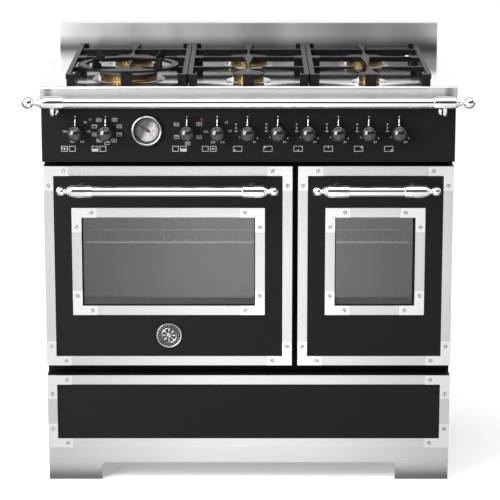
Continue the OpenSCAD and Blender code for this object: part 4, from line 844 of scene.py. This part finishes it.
# %% The panel's fold
FOLD_X, FOLD_LOW, FOLD_HIGH = 447.6, 733.2, 738.4       # it runs along the panel's lower edge
fold = plate(oblong(-FOLD_X, FOLD_LOW, FOLD_X, FOLD_HIGH), 9.2, 10.05, 0.6, 4)
piece("panel_fold", [fold], "cooker", enamel, ())

# %% [markdown]
# ## The hob
# The folded sheet parts and the cast pan supports keep their exact shapes. Real sheet edges and
# castings are never sharp, so a small bevel goes on each, welded first because the frame's flat
# faces come in with their own corners. Remaking them would give the same shapes with more code.

# %% Soft edges on the exact parts
SAME_POINT, SHARP_EDGE = 1e-6, math.radians(40)     # metres between points that are one, and an angle
soft_edges = {      # bevel width in metres
    0.0006: ["backguard", "door_left_panel", "door_right_panel", "drawer_front", "plinth", "side_panels",
             "door_left_liner", "door_right_liner", "drawer_box"],
    0.0010: ["worktop", "control_panel"],
    0.0014: ["grate_left", "grate_middle", "grate_right", "wok_ring"],
}
for width, names in soft_edges.items():
    for name in names:
        weld = nodes[name].modifiers.new("weld", "WELD")
        weld.merge_threshold = SAME_POINT
        bevel = nodes[name].modifiers.new("soft_edges", "BEVEL")
        bevel.width, bevel.segments = width, 3
        bevel.limit_method, bevel.angle_limit = "ANGLE", SHARP_EDGE
        bevel.harden_normals = True
print(sum(len(n) for n in soft_edges.values()), "exact parts with soft edges")

# %% [markdown]
# ## Fascia ends
# The hob's fascia ends in two separate pressed pieces, one at each corner, which leave a fine seam.
# They are thin plates just in front of the exact fascia.

# %% Two pressed end pieces
END_W, END_LOW, END_HIGH = 57.4, 853.4, 896.6       # width, foot and top of an end piece
outlines = [oblong(x, END_LOW, x + END_W, END_HIGH, 1.5) for x in (-449.8, 392.4)]
ends = [plate(outline, -0.7, 0.3, 0.5, 4) for outline in outlines]
piece("fascia_ends", ends, "cooker", end_steel, ())

# %% [markdown]
# ## Burners
# A burner is a brass crown with a slot for each flame, a black enamel cap, a dished steel ring
# that keeps spills out, and a spark plug. The crown is a plain ring below and a slotted one above:
# the slotted one is a toothed outline with the same number of points at each level. The six differ
# only in size, so every profile is rows of (height, radius) worked out from the crown's radius r.

# %% Crowns, rings and caps
BURNERS = [(-264.0, 135.0, 63.0), (-264.0, 345.0, 42.0), (0.0, 107.0, 33.0), (0.0, 345.0, 42.0),
           (264.0, 345.0, 42.0), (264.0, 95.0, 22.0)]       # (x, y, radius)
CROWN_LOW, CROWN_TOP, TOOTH, SLOT_HALF = 904.2, 909.6, 3.0, 1.2     # slotted part; its teeth and slots
DISH_OUT = 16                                               # how far a dished ring goes past its crown


def crown_rows(r):
    """The plain ring under the slots."""
    return [(896.5, r * 0.7), (896.5, r - 1.0), (897.4, r + 0.6), (899.6, r + 0.8), (900.6, r), (904.3, r)]


def dish_rows(r):
    """The dished ring, from its outer edge inwards."""
    outer = r + DISH_OUT
    return [(896.05, outer), (896.9, outer + 0.4), (897.9, outer - 0.6), (898.3, outer - 2.4),
            (897.9, outer - 5.0), (897.1, outer - 8.5), (896.9, r + 4.0), (897.6, r + 2.0), (898.0, r - 1.0)]


def cap_rows(r):
    """The cap, from its underside round its edge to the middle of its top."""
    return [(909.7, r - 4.0), (909.8, r + 0.6), (910.4, r + 1.3), (911.6, r + 1.5), (912.9, r + 1.1),
            (913.7, r - 0.2), (914.0, r - 2.0), (914.1, r * 0.6), (914.4, r * 0.25), (914.48, 0.5)]


def slotted(x, y, r):
    """A ring of teeth seen from above: the outline steps from r to r - TOOTH at each slot, and a last
    outline, smaller by 0.8, rounds the upper edge."""
    slots = int(r * 0.75)
    step = 2 * np.pi / slots
    half = SLOT_HALF / r
    turns = np.array([half, half + 0.004, step - half - 0.004, step - half])
    a = (np.arange(slots)[:, None] * step + turns).ravel()
    d = np.tile([r - TOOTH, r, r, r - TOOTH], slots)
    levels = [(CROWN_LOW, 0.0), (CROWN_TOP - 0.8, 0.0), (CROWN_TOP, 0.8)]
    loops = [(x + (d - t) * np.cos(a), y + (d - t) * np.sin(a), np.full(len(a), z)) for z, t in levels]
    return skin(np.stack([np.column_stack(loop) for loop in loops]))


crown, dish, cap = [], [], []
for x, y, r in BURNERS:
    crown += [turned(crown_rows(r), (x, y, 0), "z", 72), slotted(x, y, r)]
    dish.append(turned(dish_rows(r), (x, y, 0), "z", 72))
    cap.append(turned(cap_rows(r), (x, y, 0), "z", 72))
piece("burner_crown_rings", crown, "cooker", brass, ["burner_crowns"], 30)
piece("burner_dishes", dish, "cooker", dish_steel, ["burner_crowns"])
piece("burner_cap_discs", cap, "cooker", cap_enamel, ["burner_caps"])

# %% Spark plugs
SPARK, SPARK_OUT = math.radians(205), 5     # direction from the burner's middle, distance from its crown
plug_rows = [(880.0, 3.0), (901.8, 3.0), (902.4, 2.6), (904.2, 2.4), (904.6, 1.2)]
tip_rows = [(904.0, 0.9), (907.2, 0.9), (908.0, 0.3)]
spots = [(x + (r + SPARK_OUT) * math.cos(SPARK), y + (r + SPARK_OUT) * math.sin(SPARK), 0)
         for x, y, r in BURNERS]
worn = {ceramic: [turned(plug_rows, spot, "z", 20) for spot in spots],
        wire: [turned(tip_rows, spot, "z", 12) for spot in spots]}
piece("spark_plug_bodies", worn, "cooker", None, ["spark_plugs"])

# %% [markdown]
# ## Lamps
# Each indicator is a small domed lens in a thin black ring.

# %% Lenses
LAMP_X, LAMP_Z = (-341.75, -100.25), 826.0      # the two lamps' middles
lens_rows = [(8.2, 0.3), (8.35, 1.4), (8.8, 2.6), (9.5, 3.1), (10.2, 3.2)]
lamp_ring_rows = [(9.9, 3.1), (9.1, 3.1), (8.9, 3.5), (9.1, 3.95), (9.9, 4.1)]
worn = {lamp_red: [turned(lens_rows, (x, 0, LAMP_Z), "y", 24) for x in LAMP_X],
        near_black_and_shadow: [turned(lamp_ring_rows, (x, 0, LAMP_Z), "y", 24) for x in LAMP_X]}
piece("lamp_lenses", worn, "cooker", None, ["indicator_lamps"])

# %% [markdown]
# ## Oven windows
# A window is an outer pane with a thin metal film, an inner clear pane, and a black border printed
# where the door holds the glass, widened on the outer side by painted shadow of the opening's inner
# edge. A dark grey strip runs along the outer pane's lower edge. The panes are plates with ground
# edges, at the exact parts' own places, and the border is four strips.

# %% Panes, borders and rails
PANE, SEEN_IN, LOWER_BAND_TOP = 4, 11.5, 17.0     # a pane's thickness, the seen part inside it, the top of the dark grey lower strip
LOWER, UPPER = 3.2, 1.6                     # widths of the border's lower and upper strips
SIDES = {"left": (4.0, 2.4), "right": (2.4, 6.0)}       # of its left and right ones: wider outside, where painted shadow of the opening's inner edge adds to the print
PRINT_OUT, PRINT = 0.15, 0.14               # how far the dark strips stand in front of the pane, how thick


def printed(x0, z0, x1, z1, front):
    """A thin dark strip on a pane's face, for the border and for the grey strip along its lower edge."""
    return plate(oblong(x0, z0, x1, z1), front, front + PRINT, 0.05, 2)


for side, (a, b) in SIDES.items():
    low, high = (np.array(corner) * METRE + (0, HOB_FRONT, 0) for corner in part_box(f"door_{side}_glass"))
    outline = oblong(low[0], low[2], high[0], high[2], 8.0, 6)
    panes = {glass: [plate(outline, low[1], low[1] + PANE, 0.4)],
             inner_glass: [plate(outline, high[1] - PANE, high[1], 0.4)]}
    piece(f"door_{side}_panes", panes, f"door_{side}", None, [f"door_{side}_glass"])
    x0, x1, z0, z1 = low[0] + SEEN_IN, high[0] - SEEN_IN, low[2] + SEEN_IN, high[2] - SEEN_IN
    edges = [(x0, z0, x0 + a, z1), (x1 - b, z0, x1, z1), (x0 + a, z0, x1 - b, z0 + LOWER),
             (x0 + a, z1 - UPPER, x1 - b, z1)]
    front = low[1] - PRINT_OUT
    border = {black_print_and_shadow: [printed(*edge, front) for edge in edges],
              lower_band_grey: [printed(x0 + a, z0 + LOWER, x1 - b, z0 + LOWER_BAND_TOP, front)]}
    piece(f"door_{side}_window_print_and_shadow", border, f"door_{side}", None)

# %% [markdown]
# ## The studio
# A pale floor runs on under a pale sky, with two soft lamps. The camera sees both evenly, and the
# floor takes the cooker's shadow. Mirrors see them graded instead: polished steel shows nothing but
# what it mirrors, so its bright bands and dark lines come from the floor and sky in front of it.

# %% Studio helpers
def lit_for(tree, *rays):
    """1 where one of the light path's rays sees the surface, and 0 elsewhere."""
    path = tree.nodes.new("ShaderNodeLightPath")
    most = path.outputs[rays[0]]
    for ray in rays[1:]:
        most = worked(tree, "MAXIMUM", most, path.outputs[ray])
    return most


def ramped(tree, value, stops):
    """Grey by value, from (position, grey) rows, held at both ends."""
    ramp = tree.nodes.new("ShaderNodeValToRGB")
    tree.links.new(value, ramp.inputs[0])
    marks = ramp.color_ramp.elements
    while len(marks) < len(stops):
        marks.new(0.5)
    for mark, (position, shade) in zip(marks, stops):
        mark.position, mark.color = position, (*grey(shade), 1)
    return ramp.outputs["Color"]


def joined_shader(tree, kind, *shaders):
    """A shader node's output, with its sockets linked in order."""
    node = tree.nodes.new(kind)
    for k, shader in enumerate(shaders):
        tree.links.new(shader, node.inputs[k])
    return node.outputs[0]


def split(tree, output):
    """The x, y and z of a texture coordinate."""
    node = tree.nodes.new("ShaderNodeSeparateXYZ")
    tree.links.new(tree.nodes.new("ShaderNodeTexCoord").outputs[output], node.inputs[0])
    return node.outputs


# %% Floor
FLOOR = [(-14, -9.5, 0), (14, -9.5, 0), (14, 16, 0), (-14, 16, 0)]      # its corners in metres
FLOOR_GREY, FLOOR_SEEN, FLOOR_GLOW = 0.8, 0.35, 1.9     # its colour, and its own light for camera and mirrors
# mirrors show the floor brightest in the middle and duller to both sides, by distance from the middle
SIDEWAYS = [(0.0, 1.0), (0.15, 0.97), (0.45, 0.65), (0.62, 0.62), (1.0, 0.6)]
# and brighter a few steps in front of the cooker than at its feet; behind it the floor is dim
FORWARDS = [(0.0, 0.1), (0.44, 0.12), (0.482, 0.12), (0.501, 0.14), (0.504, 0.68), (0.56, 0.78),
            (0.62, 0.95), (0.68, 1.0), (0.76, 0.9), (0.82, 0.55), (0.9, 0.42)]
PER_METRE, AT_ORIGIN = -0.06, 0.484                     # the second ramp's position along y
floor_mesh = bpy.data.meshes.new("floor")
floor_mesh.from_pydata(FLOOR, [], [(0, 1, 2, 3)])
floor = bpy.data.objects.new("floor", floor_mesh)
bpy.context.scene.collection.objects.link(floor)
floor_finish = bpy.data.materials.new("pale_floor")
floor_finish.use_nodes = True
floor_mesh.materials.append(floor_finish)

# %% The floor's light
tree = floor_finish.node_tree
tree.nodes.remove(tree.nodes["Principled BSDF"])
matte = tree.nodes.new("ShaderNodeBsdfDiffuse")
matte.inputs["Color"].default_value = (*grey(FLOOR_GREY), 1)
place = split(tree, "Object")
sideways = ramped(tree, worked(tree, "ABSOLUTE", place["X"]), SIDEWAYS)
along = worked(tree, "MULTIPLY_ADD", place["Y"], PER_METRE, AT_ORIGIN)
glow = tree.nodes.new("ShaderNodeEmission")
tree.links.new(sideways, glow.inputs["Color"])
tree.links.new(worked(tree, "MULTIPLY", ramped(tree, along, FORWARDS), FLOOR_GLOW), glow.inputs["Strength"])
seen = tree.nodes.new("ShaderNodeEmission")
seen.inputs["Strength"].default_value = FLOOR_SEEN
both = joined_shader(tree, "ShaderNodeAddShader", matte.outputs[0], seen.outputs[0])
to_camera = joined_shader(tree, "ShaderNodeMixShader", lit_for(tree, "Is Camera Ray", "Is Transmission Ray"),
                          matte.outputs[0], both)
to_mirror = joined_shader(tree, "ShaderNodeMixShader", lit_for(tree, "Is Glossy Ray"), to_camera,
                          glow.outputs[0])
tree.links.new(to_mirror, tree.nodes["Material Output"].inputs["Surface"])
print("floor shader with", len(tree.nodes), "nodes")

# %% Sky
SKY_AHEAD = [(0.0, 0.3), (0.07, 0.28), (0.13, 0.02), (0.58, 0.02), (0.66, 0.85)]    # grey by height
SKY_BEHIND = [(0.0, 0.5), (0.06, 0.8), (0.3, 0.8), (0.6, 0.45)]
SKY_SEEN, SKY_STRENGTH = 0.7, 1.5           # grey for the camera, and strength of all of it
SKY_TURN, HALFWAY = 2.0, 0.5    # the sky turns from one to the other over y from -0.25 to 0.25
world = bpy.data.worlds.new("studio")
bpy.context.scene.world = world
world.use_nodes = True
sky = world.node_tree
background = sky.nodes["Background"]
toward = split(sky, "Generated")
ahead, behind = (ramped(sky, toward["Z"], stops) for stops in (SKY_AHEAD, SKY_BEHIND))
turn = worked(sky, "MULTIPLY_ADD", toward["Y"], SKY_TURN, HALFWAY)
mirrored = blended(sky, turn, ahead, behind)
shown = blended(sky, lit_for(sky, "Is Camera Ray"), mirrored, (*grey(SKY_SEEN), 1))
sky.links.new(shown, background.inputs["Color"])
background.inputs["Strength"].default_value = SKY_STRENGTH
print("sky with", len(sky.nodes), "nodes")


# %% Lamps
def soft_lamp(name, spot, aim, size, watts):
    """A rectangle of light at spot, turned towards aim, both in metres."""
    light = bpy.data.lights.new(name, "AREA")
    light.shape, light.energy = "RECTANGLE", watts
    light.size, light.size_y = size
    lamp = bpy.data.objects.new(name, light)
    bpy.context.scene.collection.objects.link(lamp)
    lamp.location = spot
    look = mathutils.Vector(aim) - mathutils.Vector(spot)
    lamp.rotation_euler = look.to_track_quat("-Z", "Y").to_euler()
    print(name, watts, "watts")


soft_lamp("top_softbox", spot=(0.3, -1.2, 3.4), aim=(0, 0.1, 0.4), size=(2.6, 1.8), watts=40)
soft_lamp("left_softbox", spot=(-2.2, -2.2, 1.8), aim=(0, -0.28, 0.7), size=(2.2, 3.0), watts=190)

# %% Camera
FOCAL, PICTURE, SENSOR = 2350.0, 500, 36    # focal length and width in pixels, the sensor's in mm
EYE = (0.00328, -5.0 - HOB_FRONT / METRE, 1.7045)
LOOKS_DOWN = 13.12                          # degrees, all from the photograph's perspective
camera_data = bpy.data.cameras.new("camera")
camera_data.lens, camera_data.sensor_width = FOCAL / PICTURE * SENSOR, SENSOR
camera = bpy.data.objects.new("camera", camera_data)
bpy.context.scene.collection.objects.link(camera)
camera.location = EYE
camera.rotation_euler = (math.radians(90 - LOOKS_DOWN), 0, 0)
bpy.context.scene.camera = camera
bpy.context.scene.view_settings.view_transform = "Standard"
print("camera of", round(camera_data.lens, 1), "mm")
